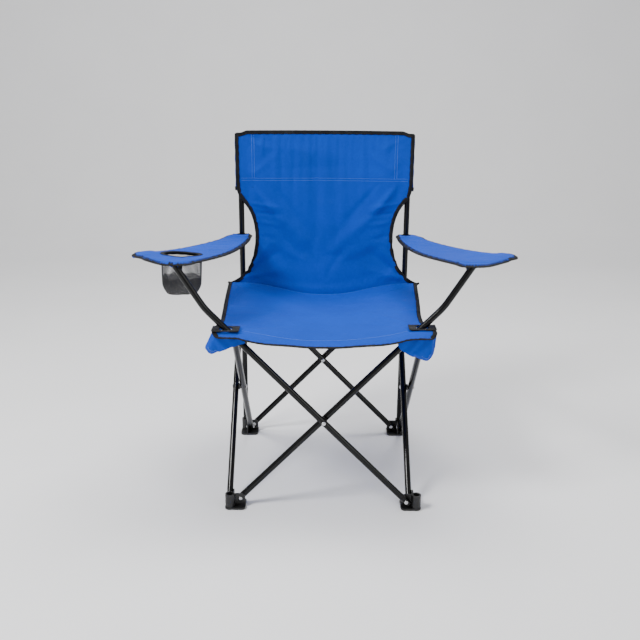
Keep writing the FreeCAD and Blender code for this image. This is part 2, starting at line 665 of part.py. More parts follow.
def makeArmrest(label, sign, withCup):
    # A leaf-shaped panel with the post through its rear end; its own origin is on the post axis.
    body = newBody(label)
    outline = newSketch(body, "XY_Plane", label + "Outline")
    inner, outer = f"{-sign} * Dims.armrestInnerEnd", f"{sign} * Dims.armrestInnerEnd"
    leaf = [
        (f"{sign * reach} * Dims.armrestReach", f"-{ahead} * {armrestLength}")
        for reach, ahead in armrestLeaf
    ]
    addOutline(outline, [(inner, armrestBehind)] + leaf + [(outer, armrestBehind)])
    addCircle(outline, "Dims.tubeRadius + Dims.clothGap")
    if withCup:
        cupAcross = f"{sign} * Dims.cupHolderOut"
        addCircle(outline, "Dims.cupHolderRadius", across=cupAcross, up="-Dims.cupHolderAhead")
    addPad(body, outline, "Dims.clothThickness")
    roundEdges(body, "Fillet", "Dims.armrestCorner", standing)
    return body


armrestTurn = rotation(V(1, 0, 0), -armrestSlope)
for side, sign in (("left", -1), ("right", 1)):
    base = V(sign * postPlace, postPlace, armrestBase)
    place(makeArmrest(f"armrest_{side}", sign, side == "left"), base, armrestTurn)

cupBody = newBody("cup_holder")
wall = newSketch(cupBody, "XZ_Plane", "cupHolderWallSection")
floorRadius = "(Dims.cupHolderRadius - Dims.cupHolderTaper)"
addOutline(
    wall,
    [
        ("0", "-Dims.cupHolderDepth"),
        (floorRadius, "-Dims.cupHolderDepth"),
        ("Dims.cupHolderRadius", "0"),
        ("Dims.cupHolderRadius - Dims.cupHolderWall", "0"),
        (floorRadius + " - Dims.cupHolderWall", "Dims.cupHolderWall - Dims.cupHolderDepth"),
        ("0", "Dims.cupHolderWall - Dims.cupHolderDepth"),
    ],
)
turned = cupBody.newObject("PartDesign::Revolution", "cupHolderTurned")
turned.Profile = wall
turned.ReferenceAxis = (wall, ["V_Axis"])
turned.Angle = 360
doc.recompute()
cupLift = -dim("runningGap")
cupCentre = armrestTurn.multVec(V(-dim("cupHolderOut"), -dim("cupHolderAhead"), cupLift))
place(cupBody, cupCentre + V(-postPlace, postPlace, armrestBase), armrestTurn)


# ---- check and write ----
doc.recompute()
for thing in doc.Objects:
    if {"Invalid", "Error"} & set(thing.State):
        raise RuntimeError(f"{thing.Name} failed: {thing.State}")
os.makedirs("parts", exist_ok=True)
for node in nodes:
    if node.Shape.isNull() or not node.Shape.isValid() or not node.Shape.Solids:
        raise RuntimeError(f"{node.Label} has no valid solid")
    node.Shape.exportStep(f"parts/{node.Label}.step")
print(len(nodes), "nodes written")
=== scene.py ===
# Folding camp chair: cloth, tapes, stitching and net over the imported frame, with a studio.
# Metres, +Z up, the front of the chair faces -Y.
import json
import math

import bpy
import numpy as np
from mathutils import Matrix, Vector, geometry, kdtree


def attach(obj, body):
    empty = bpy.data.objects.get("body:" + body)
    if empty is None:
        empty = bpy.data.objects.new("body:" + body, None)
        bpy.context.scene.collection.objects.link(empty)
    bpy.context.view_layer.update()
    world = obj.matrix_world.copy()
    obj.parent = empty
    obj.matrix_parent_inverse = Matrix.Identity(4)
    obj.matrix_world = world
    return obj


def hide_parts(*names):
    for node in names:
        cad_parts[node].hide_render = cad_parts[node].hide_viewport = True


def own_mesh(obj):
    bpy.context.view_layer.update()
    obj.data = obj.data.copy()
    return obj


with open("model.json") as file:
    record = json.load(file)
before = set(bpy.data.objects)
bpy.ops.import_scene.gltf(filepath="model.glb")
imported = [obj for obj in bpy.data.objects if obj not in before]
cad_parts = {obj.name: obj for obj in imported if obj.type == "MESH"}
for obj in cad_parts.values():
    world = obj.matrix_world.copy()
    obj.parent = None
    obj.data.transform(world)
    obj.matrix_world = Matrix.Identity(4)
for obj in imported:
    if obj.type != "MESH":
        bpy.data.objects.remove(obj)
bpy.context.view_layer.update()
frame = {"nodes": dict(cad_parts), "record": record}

cloth = {"thickness": 0.0009, "mesh": 0.0052, "thread": 0.00034, "pitch": 0.0034, "length": 0.0025}
tape = {"width": 0.0092, "half": 0.0014, "step": 0.0022, "pucker": 0.011, "stitch": 0.0030}
sides = (("left", -1), ("right", 1))


def smoothstep(x):
    x = np.clip(x, 0, 1)
    return x * x * (3 - 2 * x)


def unit(v):
    return v / np.maximum(np.linalg.norm(v, axis=-1, keepdims=True), 1e-12)


def resample(points, spacing, closed=False):
    points = np.asarray(points, float)
    if closed:
        points = np.vstack([points, points[:1]])
    run = np.concatenate([[0], np.cumsum(np.linalg.norm(np.diff(points, axis=0), axis=1))])
    count = max(int(round(run[-1] / spacing)), 3)
    at = np.linspace(0, run[-1], count + 1)
    out = np.stack([np.interp(at, run, points[:, k]) for k in range(points.shape[1])], 1)
    return out[:-1] if closed else out


def smoothLoop(points, per=14):
    # closed Catmull-Rom curve through the points
    p = np.asarray(points, float)
    a, b, c, d = np.roll(p, 1, 0), p, np.roll(p, -1, 0), np.roll(p, -2, 0)
    out = []
    for u in np.linspace(0, 1, per, endpoint=False):
        out.append(0.5 * (2 * b + (c - a) * u + (2 * a - 5 * b + 4 * c - d) * u**2
                          + (3 * b - a - 3 * c + d) * u**3))
    return np.stack(out, 1).reshape(-1, 2)


def roundCorners(points, radii):
    # open or closed polyline with its corners cut by short curves
    p = [np.array(q, float) for q in points]
    out = []
    for k, radius in enumerate(radii):
        before, here, after = p[k - 1], p[k], p[(k + 1) % len(p)]
        if not radius:
            out.append(here)
            continue
        start = here + unit(before - here) * radius
        end = here + unit(after - here) * radius
        for u in np.linspace(0, 1, 8):
            out.append((1 - u) ** 2 * start + 2 * u * (1 - u) * here + u**2 * end)
    return np.array(out)


def soften(line, passes):
    for _ in range(passes):
        line[1:-1] = 0.25 * line[:-2] + 0.5 * line[1:-1] + 0.25 * line[2:]
    return line


def inside(polygon, points):
    x, y = points[:, 0], points[:, 1]
    result = np.zeros(len(points), bool)
    for a, b in zip(polygon, np.roll(polygon, -1, 0)):
        crosses = (a[1] > y) != (b[1] > y)
        with np.errstate(divide="ignore", invalid="ignore"):
            at = (b[0] - a[0]) * (y - a[1]) / (b[1] - a[1]) + a[0]
        result ^= crosses & (x < at)
    return result


def nearest(points, line):
    # distance from each point to the nearest point of a dense line
    out = np.full(len(points), 1e9)
    for start in range(0, len(line), 64):
        block = line[start:start + 64]
        out = np.minimum(out, np.sqrt(((points[:, None] - block[None]) ** 2).sum(2)).min(1))
    return out


def surfaceNormals(lift, flat, step=0.0012):
    right, up = np.array([step, 0]), np.array([0, step])
    return unit(np.cross(lift(flat + right) - lift(flat - right), lift(flat + up) - lift(flat - up)))


def makeObject(name, verts, faces, uv=None, smooth=True):
    mesh = bpy.data.meshes.new(name)
    mesh.from_pydata([tuple(v) for v in verts], [], [tuple(int(i) for i in f) for f in faces])
    if uv is not None:
        layer = mesh.uv_layers.new(name="cloth")
        loops = np.zeros(len(mesh.loops), np.int32)
        mesh.loops.foreach_get("vertex_index", loops)
        layer.data.foreach_set("uv", np.asarray(uv, np.float32)[loops].ravel())
    mesh.polygons.foreach_set("use_smooth", [smooth] * len(mesh.polygons))
    mesh.update()
    obj = bpy.data.objects.new(name, mesh)
    bpy.context.scene.collection.objects.link(obj)
    return obj


def triangulate(outline, holes, spacing):
    # flat mesh of even triangles inside the outline and outside the holes
    loops = [resample(outline, spacing * 0.8, True)] + [resample(h, min(spacing, 0.0022), True) for h in holes]
    lines = np.vstack(loops)
    low, high = loops[0].min(0), loops[0].max(0)
    rows = np.arange(low[1], high[1], spacing * 0.866)
    grid = [
        np.stack([np.arange(low[0] + (k % 2) * spacing / 2, high[0], spacing), np.full(
            len(np.arange(low[0] + (k % 2) * spacing / 2, high[0], spacing)), row)], 1)
        for k, row in enumerate(rows)
    ]
    grid = np.vstack(grid)
    keep = inside(loops[0], grid)
    for hole in loops[1:]:
        keep &= ~inside(hole, grid)
    grid = grid[keep]
    grid = grid[nearest(grid, lines) > spacing * 0.55]
    points, edges, start = list(map(Vector, lines)) + list(map(Vector, grid)), [], 0
    for loop in loops:
        n = len(loop)
        edges += [(start + k, start + (k + 1) % n) for k in range(n)]
        start += n
    flat, _, faces, *_ = geometry.delaunay_2d_cdt(points, edges, [], 0, 1e-7)
    flat = np.array([tuple(v) for v in flat])
    faces = np.array([f for f in faces if len(f) == 3])
    middle = flat[faces].mean(1)
    keep = inside(loops[0], middle)
    for hole in loops[1:]:
        keep &= ~inside(hole, middle)
    faces = faces[keep]
    a, b, c = flat[faces[:, 0]], flat[faces[:, 1]], flat[faces[:, 2]]
    turned = (b[:, 0] - a[:, 0]) * (c[:, 1] - a[:, 1]) - (b[:, 1] - a[:, 1]) * (c[:, 0] - a[:, 0]) < 0
    faces[turned] = faces[turned][:, ::-1]
    return flat, faces


def makeSheet(name, outline, holes, lift, spacing=None, thickness=None):
    # thin cloth with two faces and a rim; its UV map is the flat cut in metres
    flat, faces = triangulate(outline, holes, spacing or cloth["mesh"])
    half = (thickness or cloth["thickness"]) / 2
    middle, normals = lift(flat), surfaceNormals(lift, flat)
    n = len(flat)
    count = {}
    for f in faces:
        for k in range(3):
            edge = (f[k], f[(k + 1) % 3])
            count[edge] = count.get(edge, 0) + 1
    rim = [(int(e[0]), int(e[1])) for e in count if (e[1], e[0]) not in count]
    verts = np.vstack([middle + normals * half, middle - normals * half])
    allFaces = [f for f in faces] + [f[::-1] + n for f in faces] + [(b, a, a + n, b + n) for a, b in rim]
    obj = makeObject(name, verts, allFaces, np.vstack([flat, flat]))
    sharp = {tuple(sorted(e)) for e in rim} | {(min(e) + n, max(e) + n) for e in rim}
    for edge in obj.data.edges:
        if tuple(sorted(edge.vertices)) in sharp:
            edge.use_edge_sharp = True
    return obj


def hangCloth(lift, outline, pinned, settings):
    # lets the cloth settle between its seams; returns how far each flat point moves
    low, high = outline.min(0) - 0.008, outline.max(0) + 0.008
    cell = settings["cell"]
    across = np.arange(low[0], high[0] + cell, cell)
    up = np.arange(low[1], high[1] + cell, cell)
    shape = (len(up), len(across))
    flat = np.stack(np.meshgrid(across, up), 2).reshape(-1, 2)
    still = np.zeros((len(flat), 3))
    index = np.arange(len(flat)).reshape(shape)
    quads = np.stack([index[:-1, :-1], index[:-1, 1:], index[1:, 1:], index[1:, :-1]], 2).reshape(-1, 4)
    quads = quads[inside(outline, flat[quads].mean(1))]
    used, quads = np.unique(quads, return_inverse=True)
    base = lift(flat[used])
    obj = makeObject("settling", base, quads.reshape(-1, 4))
    group = obj.vertex_groups.new(name="pin")
    group.add([int(i) for i in np.nonzero(pinned(flat[used]))[0]], 1.0, "REPLACE")
    modifier = obj.modifiers.new("cloth", "CLOTH")
    modifier.settings.quality = settings["quality"]
    modifier.settings.mass = 0.12
    modifier.settings.tension_stiffness = 40
    modifier.settings.compression_stiffness = 40
    modifier.settings.shear_stiffness = 12
    modifier.settings.bending_stiffness = settings["bending"]
    modifier.settings.shrink_min = -settings["slack"]
    modifier.settings.vertex_group_mass = "pin"
    modifier.collision_settings.use_collision = False
    modifier.point_cache.frame_start = 1
    modifier.point_cache.frame_end = settings["frames"]
    for number in range(1, settings["frames"] + 1):
        bpy.context.scene.frame_set(number)
    settled = obj.evaluated_get(bpy.context.evaluated_depsgraph_get())
    co = np.zeros(len(settled.data.vertices) * 3, np.float32)
    settled.data.vertices.foreach_get("co", co)
    move = co.reshape(-1, 3) - base
    far = np.linalg.norm(move, axis=1, keepdims=True)
    cap = settings["cap"]
    move *= np.where(far > 1e-9, cap * np.tanh(far / cap) / np.maximum(far, 1e-9), 1)
    bpy.context.scene.frame_set(1)
    bpy.data.objects.remove(obj)
    print("settled cloth", len(used), "points, moved up to", round(float(far.max()) * 1000, 1), "mm")
    still[used] = move
    tree = kdtree.KDTree(len(used))
    for k, i in enumerate(used):
        tree.insert((*flat[i], 0), k)
    tree.balance()
    for i in np.setdiff1d(np.arange(len(flat)), used):
        still[i] = move[tree.find((*flat[i], 0))[1]]
    field = still.reshape(*shape, 3)

    def moved(points):
        s = np.clip((points[:, 0] - across[0]) / cell, 0, shape[1] - 1.001)
        t = np.clip((points[:, 1] - up[0]) / cell, 0, shape[0] - 1.001)
        i, j = s.astype(int), t.astype(int)
        s, t = (s - i)[:, None], (t - j)[:, None]
        lower = field[j, i] * (1 - s) + field[j, i + 1] * s
        upper = field[j + 1, i] * (1 - s) + field[j + 1, i + 1] * s
        return lower * (1 - t) + upper * t

    return moved


def folds(flat, lines):
    # soft creases: each is start, end, half width and depth
    out = np.zeros(len(flat))
    for start, end, width, depth in lines:
        a, b = np.array(start), np.array(end)
        along = np.clip(((flat - a) @ (b - a)) / ((b - a) @ (b - a)), 0, 1)
        side = np.linalg.norm(flat - (a + along[:, None] * (b - a)), axis=1)
        spread = width * (0.45 + 0.9 * along)
        out += depth * np.exp(-((side / spread) ** 2)) * np.sin(math.pi * (0.08 + 0.92 * along)) ** 0.6
    return out


def onSide(sign, lines):
    # folds written for the right side, turned to either side
    return [((sign * a[0], a[1]), (sign * b[0], b[1]), width, depth) for a, b, width, depth in lines]


def bindEdge(name, path, inward, normals, closed=False, width=None):
    # folded tape over an edge, slightly puckered by its stitching
    width = width or tape["width"]
    half = tape["half"]
    run = np.concatenate([[0], np.cumsum(np.linalg.norm(np.diff(path, axis=0), axis=1))])
    wave = 2 * math.pi * run / tape["pucker"]
    swell = 1 + 0.10 * np.sin(wave) + 0.07 * np.sin(0.37 * wave + 1.1)
    broad = 1 + 0.05 * np.sin(0.53 * wave + 0.4) + 0.03 * np.sin(1.7 * wave)
    profile = [(1, 0.85), (0.72, 1.02), (0.4, 0.94), (0.1, 1.0), (-0.1, 0.72), (-0.17, 0)]
    profile += [(a, -b) for a, b in profile[-2::-1]]
    rings = [
        path + inward * (a * width * broad)[:, None] + normals * (b * half * swell)[:, None] for a, b in profile
    ]
    verts = np.stack(rings, 1)
    n, m = len(path), len(profile)
    edge = np.concatenate([[0], np.cumsum([math.dist((a * width, b * half), (c * width, d * half))
                                           for (a, b), (c, d) in zip(profile, profile[1:])])])
    uv = np.stack([np.repeat(run[:, None], m, 1), np.repeat(edge[None], n, 0)], 2).reshape(-1, 2)
    faces = []
    for i in range(n if closed else n - 1):
        for j in range(m):
            a, b = i * m + j, i * m + (j + 1) % m
            c, d = ((i + 1) % n) * m + (j + 1) % m, ((i + 1) % n) * m + j
            faces.append((a, b, c, d))
    if not closed:
        faces += [tuple(range(m - 1, -1, -1)), tuple((n - 1) * m + k for k in range(m))]
    obj = makeObject(name, verts.reshape(-1, 3), faces, uv)
    # the row of stitches near the inner edge of the tape, on both faces
    rows = []
    for side in (1, -1):
        line = path + inward * (0.74 * width * broad)[:, None] + normals * (side * 1.06 * half * swell)[:, None]
        rows.append((line, normals * side))
    return obj, rows


def stitches(name, rows, pitch=None, length=None, thread=None):
    # short raised loops of thread along each row of (line, normals)
    pitch, length, thread = pitch or cloth["pitch"], length or cloth["length"], thread or cloth["thread"]
    ring = [(math.cos(a), math.sin(a)) for a in np.linspace(0, 2 * math.pi, 6, endpoint=False)]
    template = [(-0.5, 0, -0.5)] + [(u, c * r, s * r + lift) for u, r, lift in (
        (-0.36, 0.8, 0.1), (0, 1, 0.55), (0.36, 0.8, 0.1)) for c, s in ring] + [(0.5, 0, -0.5)]
    template = np.array(template)
    shell = [(0, 1 + (k + 1) % 6, 1 + k) for k in range(6)]
    for row in (0, 1):
        shell += [(1 + row * 6 + k, 1 + row * 6 + (k + 1) % 6, 7 + row * 6 + (k + 1) % 6, 7 + row * 6 + k)
                  for k in range(6)]
    shell += [(19, 13 + k, 13 + (k + 1) % 6) for k in range(6)]
    verts, faces, total = [], [], 0
    for line, normals in rows:
        joined = np.hstack([line, normals])
        run = np.concatenate([[0], np.cumsum(np.linalg.norm(np.diff(line, axis=0), axis=1))])
        at = np.arange(pitch / 2, run[-1], pitch)
        if not len(at):
            continue
        here = np.stack([np.interp(at, run, joined[:, k]) for k in range(6)], 1)
        ahead = np.stack([np.interp(at + 0.0004, run, joined[:, k]) for k in range(3)], 1)
        back = np.stack([np.interp(at - 0.0004, run, joined[:, k]) for k in range(3)], 1)
        along, up = unit(ahead - back), unit(here[:, 3:])
        side = unit(np.cross(up, along))
        slant = 0.12 * np.sin(at * 900)[:, None]
        along = unit(along + side * slant)
        for p, a, s, u in zip(here[:, :3], along, side, up):
            verts.append(p + np.outer(template[:, 0] * length, a) + np.outer(template[:, 1] * thread, s)
                         + np.outer(template[:, 2] * thread, u))
            faces += [tuple(total + i for i in f) for f in shell]
            total += 20
    return makeObject(name, np.vstack(verts), faces, np.vstack(verts)[:, :2])


def edgeFrame(lift, line, inwardTurn):
    # points, inward directions and normals of a flat line lifted onto the cloth
    ahead = np.gradient(line, axis=0)
    inFlat = unit(np.stack([-ahead[:, 1], ahead[:, 0]], 1)) * inwardTurn
    path = lift(line)
    inward = unit(lift(line + inFlat * 0.001) - path)
    normals = surfaceNormals(lift, line)
    return path, inward, unit(normals - inward * (normals * inward).sum(1, keepdims=True))


def seamRow(lift, points, spacing=0.0025, lifted=None, both=True):
    line = resample(points, spacing)
    path, normals = lift(line), surfaceNormals(lift, line)
    lifted = cloth["thickness"] / 2 if lifted is None else lifted
    rows = [(path + normals * lifted, normals)]
    if both:
        rows.append((path - normals * lifted, -normals))
    return rows


def finishPiece(obj, material, body, squashAs=None):
    obj.data.materials.append(material)
    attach(obj, body)
    if squashAs:
        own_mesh(obj)


def newGroup(name, inputs, outputs):
    # shared node group; inputs and outputs are (name, kind, default)
    tree = bpy.data.node_groups.new(name, "ShaderNodeTree")
    for label, kind, default in inputs:
        socket = tree.interface.new_socket(name=label, in_out="INPUT", socket_type=kind)
        if default is not None:
            socket.default_value = default
    for label, kind, _ in outputs:
        tree.interface.new_socket(name=label, in_out="OUTPUT", socket_type=kind)
    return tree, tree.nodes.new("NodeGroupInput"), tree.nodes.new("NodeGroupOutput")


def feed(tree, value, socket):
    if isinstance(value, bpy.types.NodeSocket):
        tree.links.new(value, socket)
    else:
        socket.default_value = value


def mathNode(tree, operation, a, b=None, c=None):
    node = tree.nodes.new("ShaderNodeMath")
    node.operation = operation
    for value, socket in zip((a, b, c), node.inputs):
        if value is not None:
            feed(tree, value, socket)
    return node.outputs[0]


def noise(tree, vector, scale, detail=2.0, rough=0.5):
    node = tree.nodes.new("ShaderNodeTexNoise")
    feed(tree, vector, node.inputs["Vector"])
    feed(tree, scale, node.inputs["Scale"])
    node.inputs["Detail"].default_value = detail
    node.inputs["Roughness"].default_value = rough
    return node.outputs[0]


def spread(tree, value, low, high, toLow=0.0, toHigh=1.0):
    node = tree.nodes.new("ShaderNodeMapRange")
    for socket, given in zip(node.inputs, (value, low, high, toLow, toHigh)):
        feed(tree, given, socket)
    return node.outputs[0]


def mixColour(tree, share, a, b):
    node = tree.nodes.new("ShaderNodeMix")
    node.data_type = "RGBA"
    feed(tree, share, node.inputs[0])
    feed(tree, a, node.inputs[6])
    feed(tree, b, node.inputs[7])
    return node.outputs[2]


def bump(tree, height, distance, strength=1.0, normal=None):
    node = tree.nodes.new("ShaderNodeBump")
    feed(tree, height, node.inputs["Height"])
    feed(tree, distance, node.inputs["Distance"])
    feed(tree, strength, node.inputs["Strength"])
    if normal is not None:
        tree.links.new(normal, node.inputs["Normal"])
    return node.outputs[0]


def useGroup(tree, group, **given):
    node = tree.nodes.new("ShaderNodeGroup")
    node.node_tree = group
    for label, value in given.items():
        feed(tree, value, node.inputs[label])
    return node.outputs


def newMaterial(name):
    material = bpy.data.materials.new(name)
    material.use_nodes = True
    tree = material.node_tree
    shader = tree.nodes["Principled BSDF"]
    return material, tree, shader


def clothPlace(tree):
    node = tree.nodes.new("ShaderNodeUVMap")
    node.uv_map = "cloth"
    return node.outputs[0]


def objectPlace(tree):
    return tree.nodes.new("ShaderNodeTexCoord").outputs["Object"]


# plain weave: over and under threads with a little unevenness; the colour is darkened in the gaps between
# threads as painted shade
weave, enter, leave = newGroup(
    "PlainWeave",
    [("Place", "NodeSocketVector", None), ("Pitch", "NodeSocketFloat", 0.0007),
     ("Relief", "NodeSocketFloat", 0.00012),
     ("Crumple", "NodeSocketFloat", 0.0012), ("Tint", "NodeSocketColor", (0.5, 0.5, 0.5, 1))],
    [("Color", "NodeSocketColor", None), ("Thread", "NodeSocketFloat", None),
     ("Normal", "NodeSocketVector", None)],
)
split = weave.nodes.new("ShaderNodeSeparateXYZ")
weave.links.new(enter.outputs["Place"], split.inputs[0])
warpAt = mathNode(weave, "DIVIDE", split.outputs[0], enter.outputs["Pitch"])
weftAt = mathNode(weave, "DIVIDE", split.outputs[1], enter.outputs["Pitch"])
warp = mathNode(weave, "ABSOLUTE", mathNode(weave, "SINE", mathNode(weave, "MULTIPLY", warpAt, math.pi)))
weft = mathNode(weave, "ABSOLUTE", mathNode(weave, "SINE", mathNode(weave, "MULTIPLY", weftAt, math.pi)))
over = mathNode(weave, "PINGPONG", mathNode(
    weave, "ADD", mathNode(weave, "FLOOR", warpAt), mathNode(weave, "FLOOR", weftAt)), 1.0)
warpTop = mathNode(weave, "MULTIPLY", warp, mathNode(weave, "MULTIPLY_ADD", weft, 0.5, 0.5))
weftTop = mathNode(weave, "MULTIPLY", weft, mathNode(weave, "MULTIPLY_ADD", warp, 0.5, 0.5))
both = mathNode(weave, "ADD", mathNode(weave, "MULTIPLY", warpTop, over), mathNode(
    weave, "MULTIPLY", weftTop, mathNode(weave, "SUBTRACT", 1.0, over)))
uneven = noise(weave, enter.outputs["Place"], 420.0, 2.0)
thread = mathNode(weave, "MULTIPLY", both, spread(weave, uneven, 0.3, 0.7, 0.8, 1.1))
soft = noise(weave, enter.outputs["Place"], 22.0, 4.0, 0.55)
patchy = noise(weave, enter.outputs["Place"], 7.0, 3.0, 0.6)
slub = noise(weave, enter.outputs["Place"], 150.0, 3.0, 0.6)
# painted shade and highlight: the colour is darker in the gaps between threads and a little lighter on the
# thread tops; the patchy and slub noises add random tone
gapShadeAndTone = mathNode(weave, "MULTIPLY", spread(weave, thread, 0.0, 1.0, 0.80, 1.06),
                 spread(weave, patchy, 0.3, 0.7, 0.92, 1.07))
gapShadeAndTone = mathNode(weave, "MULTIPLY", gapShadeAndTone, spread(weave, slub, 0.3, 0.7, 0.95, 1.05))
worn = spread(weave, mathNode(weave, "MULTIPLY", soft, thread), 0.52, 0.75, 0.0, 0.35)
pale = mixColour(weave, worn, enter.outputs["Tint"], (0.10, 0.22, 0.62, 1))
brightness = weave.nodes.new("ShaderNodeVectorMath")
brightness.operation = "SCALE"
weave.links.new(pale, brightness.inputs[0])
weave.links.new(gapShadeAndTone, brightness.inputs["Scale"])
weave.links.new(brightness.outputs[0], leave.inputs["Color"])
weave.links.new(thread, leave.inputs["Thread"])
rough = bump(weave, soft, enter.outputs["Crumple"])
weave.links.new(bump(weave, thread, enter.outputs["Relief"], 1.0, rough), leave.inputs["Normal"])

# woven tape: ribs across its length, with thread ends between them; its colour is darkened in the rib grooves
# and lightened on the ribs as painted shade and painted highlight
ribbing, enter, leave = newGroup(
    "RibbedTape",
    [("Place", "NodeSocketVector", None), ("Rib", "NodeSocketFloat", 0.0011),
     ("Relief", "NodeSocketFloat", 0.0002),
     ("Tint", "NodeSocketColor", (0.02, 0.02, 0.02, 1))],
    [("Color", "NodeSocketColor", None), ("Rise", "NodeSocketFloat", None),
     ("Normal", "NodeSocketVector", None)],
)
split = ribbing.nodes.new("ShaderNodeSeparateXYZ")
ribbing.links.new(enter.outputs["Place"], split.inputs[0])
ribAt = mathNode(ribbing, "DIVIDE", split.outputs[0], enter.outputs["Rib"])
lineAt = mathNode(ribbing, "DIVIDE", split.outputs[1], 0.0006)
rib = mathNode(ribbing, "ABSOLUTE", mathNode(ribbing, "SINE", mathNode(ribbing, "MULTIPLY", ribAt, math.pi)))
line = mathNode(ribbing, "ABSOLUTE", mathNode(ribbing, "SINE", mathNode(ribbing, "MULTIPLY", lineAt, math.pi)))
fuzz = noise(ribbing, enter.outputs["Place"], 900.0, 2.0)
rise = mathNode(ribbing, "ADD",
                mathNode(ribbing, "MULTIPLY_ADD", rib, 0.7, mathNode(ribbing, "MULTIPLY", line, 0.25)),
                mathNode(ribbing, "MULTIPLY", fuzz, 0.25))
dusty = noise(ribbing, enter.outputs["Place"], 30.0, 3.0)
lint = spread(ribbing, dusty, 0.45, 0.8, 0.0, 0.25)
tapeTint = mixColour(ribbing, lint, enter.outputs["Tint"], (0.05, 0.05, 0.052, 1))
brightness = ribbing.nodes.new("ShaderNodeVectorMath")
brightness.operation = "SCALE"
ribbing.links.new(tapeTint, brightness.inputs[0])
# painted shade and highlight: the tape's colour follows the rib height, darker in the grooves and lighter on
# the rib tops, with random fibre tone from the fuzz noise
ribbing.links.new(spread(ribbing, rise, 0.1, 1.0, 0.55, 1.25), brightness.inputs["Scale"])
ribbing.links.new(brightness.outputs[0], leave.inputs["Color"])
ribbing.links.new(rise, leave.inputs["Rise"])
ribbing.links.new(bump(ribbing, rise, enter.outputs["Relief"]), leave.inputs["Normal"])

# coated or moulded surface: fine grain, soft waviness, scuffs and dust
coating, enter, leave = newGroup(
    "Coating",
    [("Place", "NodeSocketVector", None), ("Grain", "NodeSocketFloat", 900.0),
     ("GrainDepth", "NodeSocketFloat", 0.00003),
     ("Wave", "NodeSocketFloat", 140.0), ("WaveDepth", "NodeSocketFloat", 0.00006),
     ("Tint", "NodeSocketColor", (0, 0, 0, 1)),
     ("Scuff", "NodeSocketColor", (0.12, 0.12, 0.12, 1)), ("Wear", "NodeSocketFloat", 0.4)],
    [("Color", "NodeSocketColor", None), ("Marks", "NodeSocketFloat", None),
     ("Normal", "NodeSocketVector", None)],
)
place = enter.outputs["Place"]
grain = noise(coating, place, enter.outputs["Grain"], 3.0, 0.6)
waves = noise(coating, place, enter.outputs["Wave"], 2.0)
cells = coating.nodes.new("ShaderNodeTexVoronoi")
cells.feature = "DISTANCE_TO_EDGE"
coating.links.new(place, cells.inputs["Vector"])
cells.inputs["Scale"].default_value = 55.0
scratches = mathNode(coating, "MULTIPLY", spread(coating, cells.outputs["Distance"], 0.0, 0.012, 1.0, 0.0),
                     spread(coating, noise(coating, place, 60.0, 4.0), 0.56, 0.66, 0.0, 1.0))
dust = spread(coating, noise(coating, place, 18.0, 5.0, 0.65), 0.5, 0.8, 0.0, 0.35)
marks = mathNode(coating, "MULTIPLY", mathNode(coating, "MAXIMUM", scratches, dust), enter.outputs["Wear"])
coating.links.new(mixColour(coating, marks, enter.outputs["Tint"], enter.outputs["Scuff"]),
                  leave.inputs["Color"])
coating.links.new(marks, leave.inputs["Marks"])
wavy = bump(coating, waves, enter.outputs["WaveDepth"])
coating.links.new(bump(coating, grain, enter.outputs["GrainDepth"], 1.0, wavy), leave.inputs["Normal"])


def clothMaterial(name, look):
    material, tree, shader = newMaterial(name)
    out = useGroup(tree, weave, Place=clothPlace(tree), Pitch=look["pitch"], Relief=look["relief"],
                   Crumple=look["crumple"], Tint=look["tint"])
    tree.links.new(out["Color"], shader.inputs["Base Color"])
    tree.links.new(out["Normal"], shader.inputs["Normal"])
    tree.links.new(spread(tree, out["Thread"], 0.0, 1.0, look["rough"] + 0.08, look["rough"]),
                   shader.inputs["Roughness"])
    shader.inputs["Specular IOR Level"].default_value = look["gloss"]
    shader.inputs["Sheen Weight"].default_value = look["sheen"]
    shader.inputs["Sheen Roughness"].default_value = 0.4
    shader.inputs["Sheen Tint"].default_value = look["sheenTint"]
    return material


def tapeMaterial(name, look):
    material, tree, shader = newMaterial(name)
    out = useGroup(tree, ribbing, Place=clothPlace(tree), Rib=look["rib"], Relief=look["relief"],
                   Tint=look["tint"])
    tree.links.new(out["Color"], shader.inputs["Base Color"])
    tree.links.new(out["Normal"], shader.inputs["Normal"])
    tree.links.new(spread(tree, out["Rise"], 0.0, 1.0, 0.8, look["rough"]), shader.inputs["Roughness"])
    shader.inputs["Sheen Weight"].default_value = look["sheen"]
    shader.inputs["Specular IOR Level"].default_value = 0.2
    return material


def hardMaterial(name, look):
    material, tree, shader = newMaterial(name)
    out = useGroup(tree, coating, Place=objectPlace(tree), Grain=look["grain"], GrainDepth=look["grainDepth"],
                   Wave=look["wave"], WaveDepth=look["waveDepth"], Tint=look["tint"], Scuff=look["scuff"],
                   Wear=look["wear"])
    tree.links.new(out["Color"], shader.inputs["Base Color"])
    tree.links.new(out["Normal"], shader.inputs["Normal"])
    tree.links.new(spread(tree, out["Marks"], 0.0, 0.5, look["rough"], look["rough"] + look["dull"]),
                   shader.inputs["Roughness"])
    shader.inputs["Metallic"].default_value = look["metal"]
    shader.inputs["Specular IOR Level"].default_value = look["gloss"]
    shader.inputs["Coat Weight"].default_value = look["coat"]
    shader.inputs["Coat Roughness"].default_value = 0.06
    return material


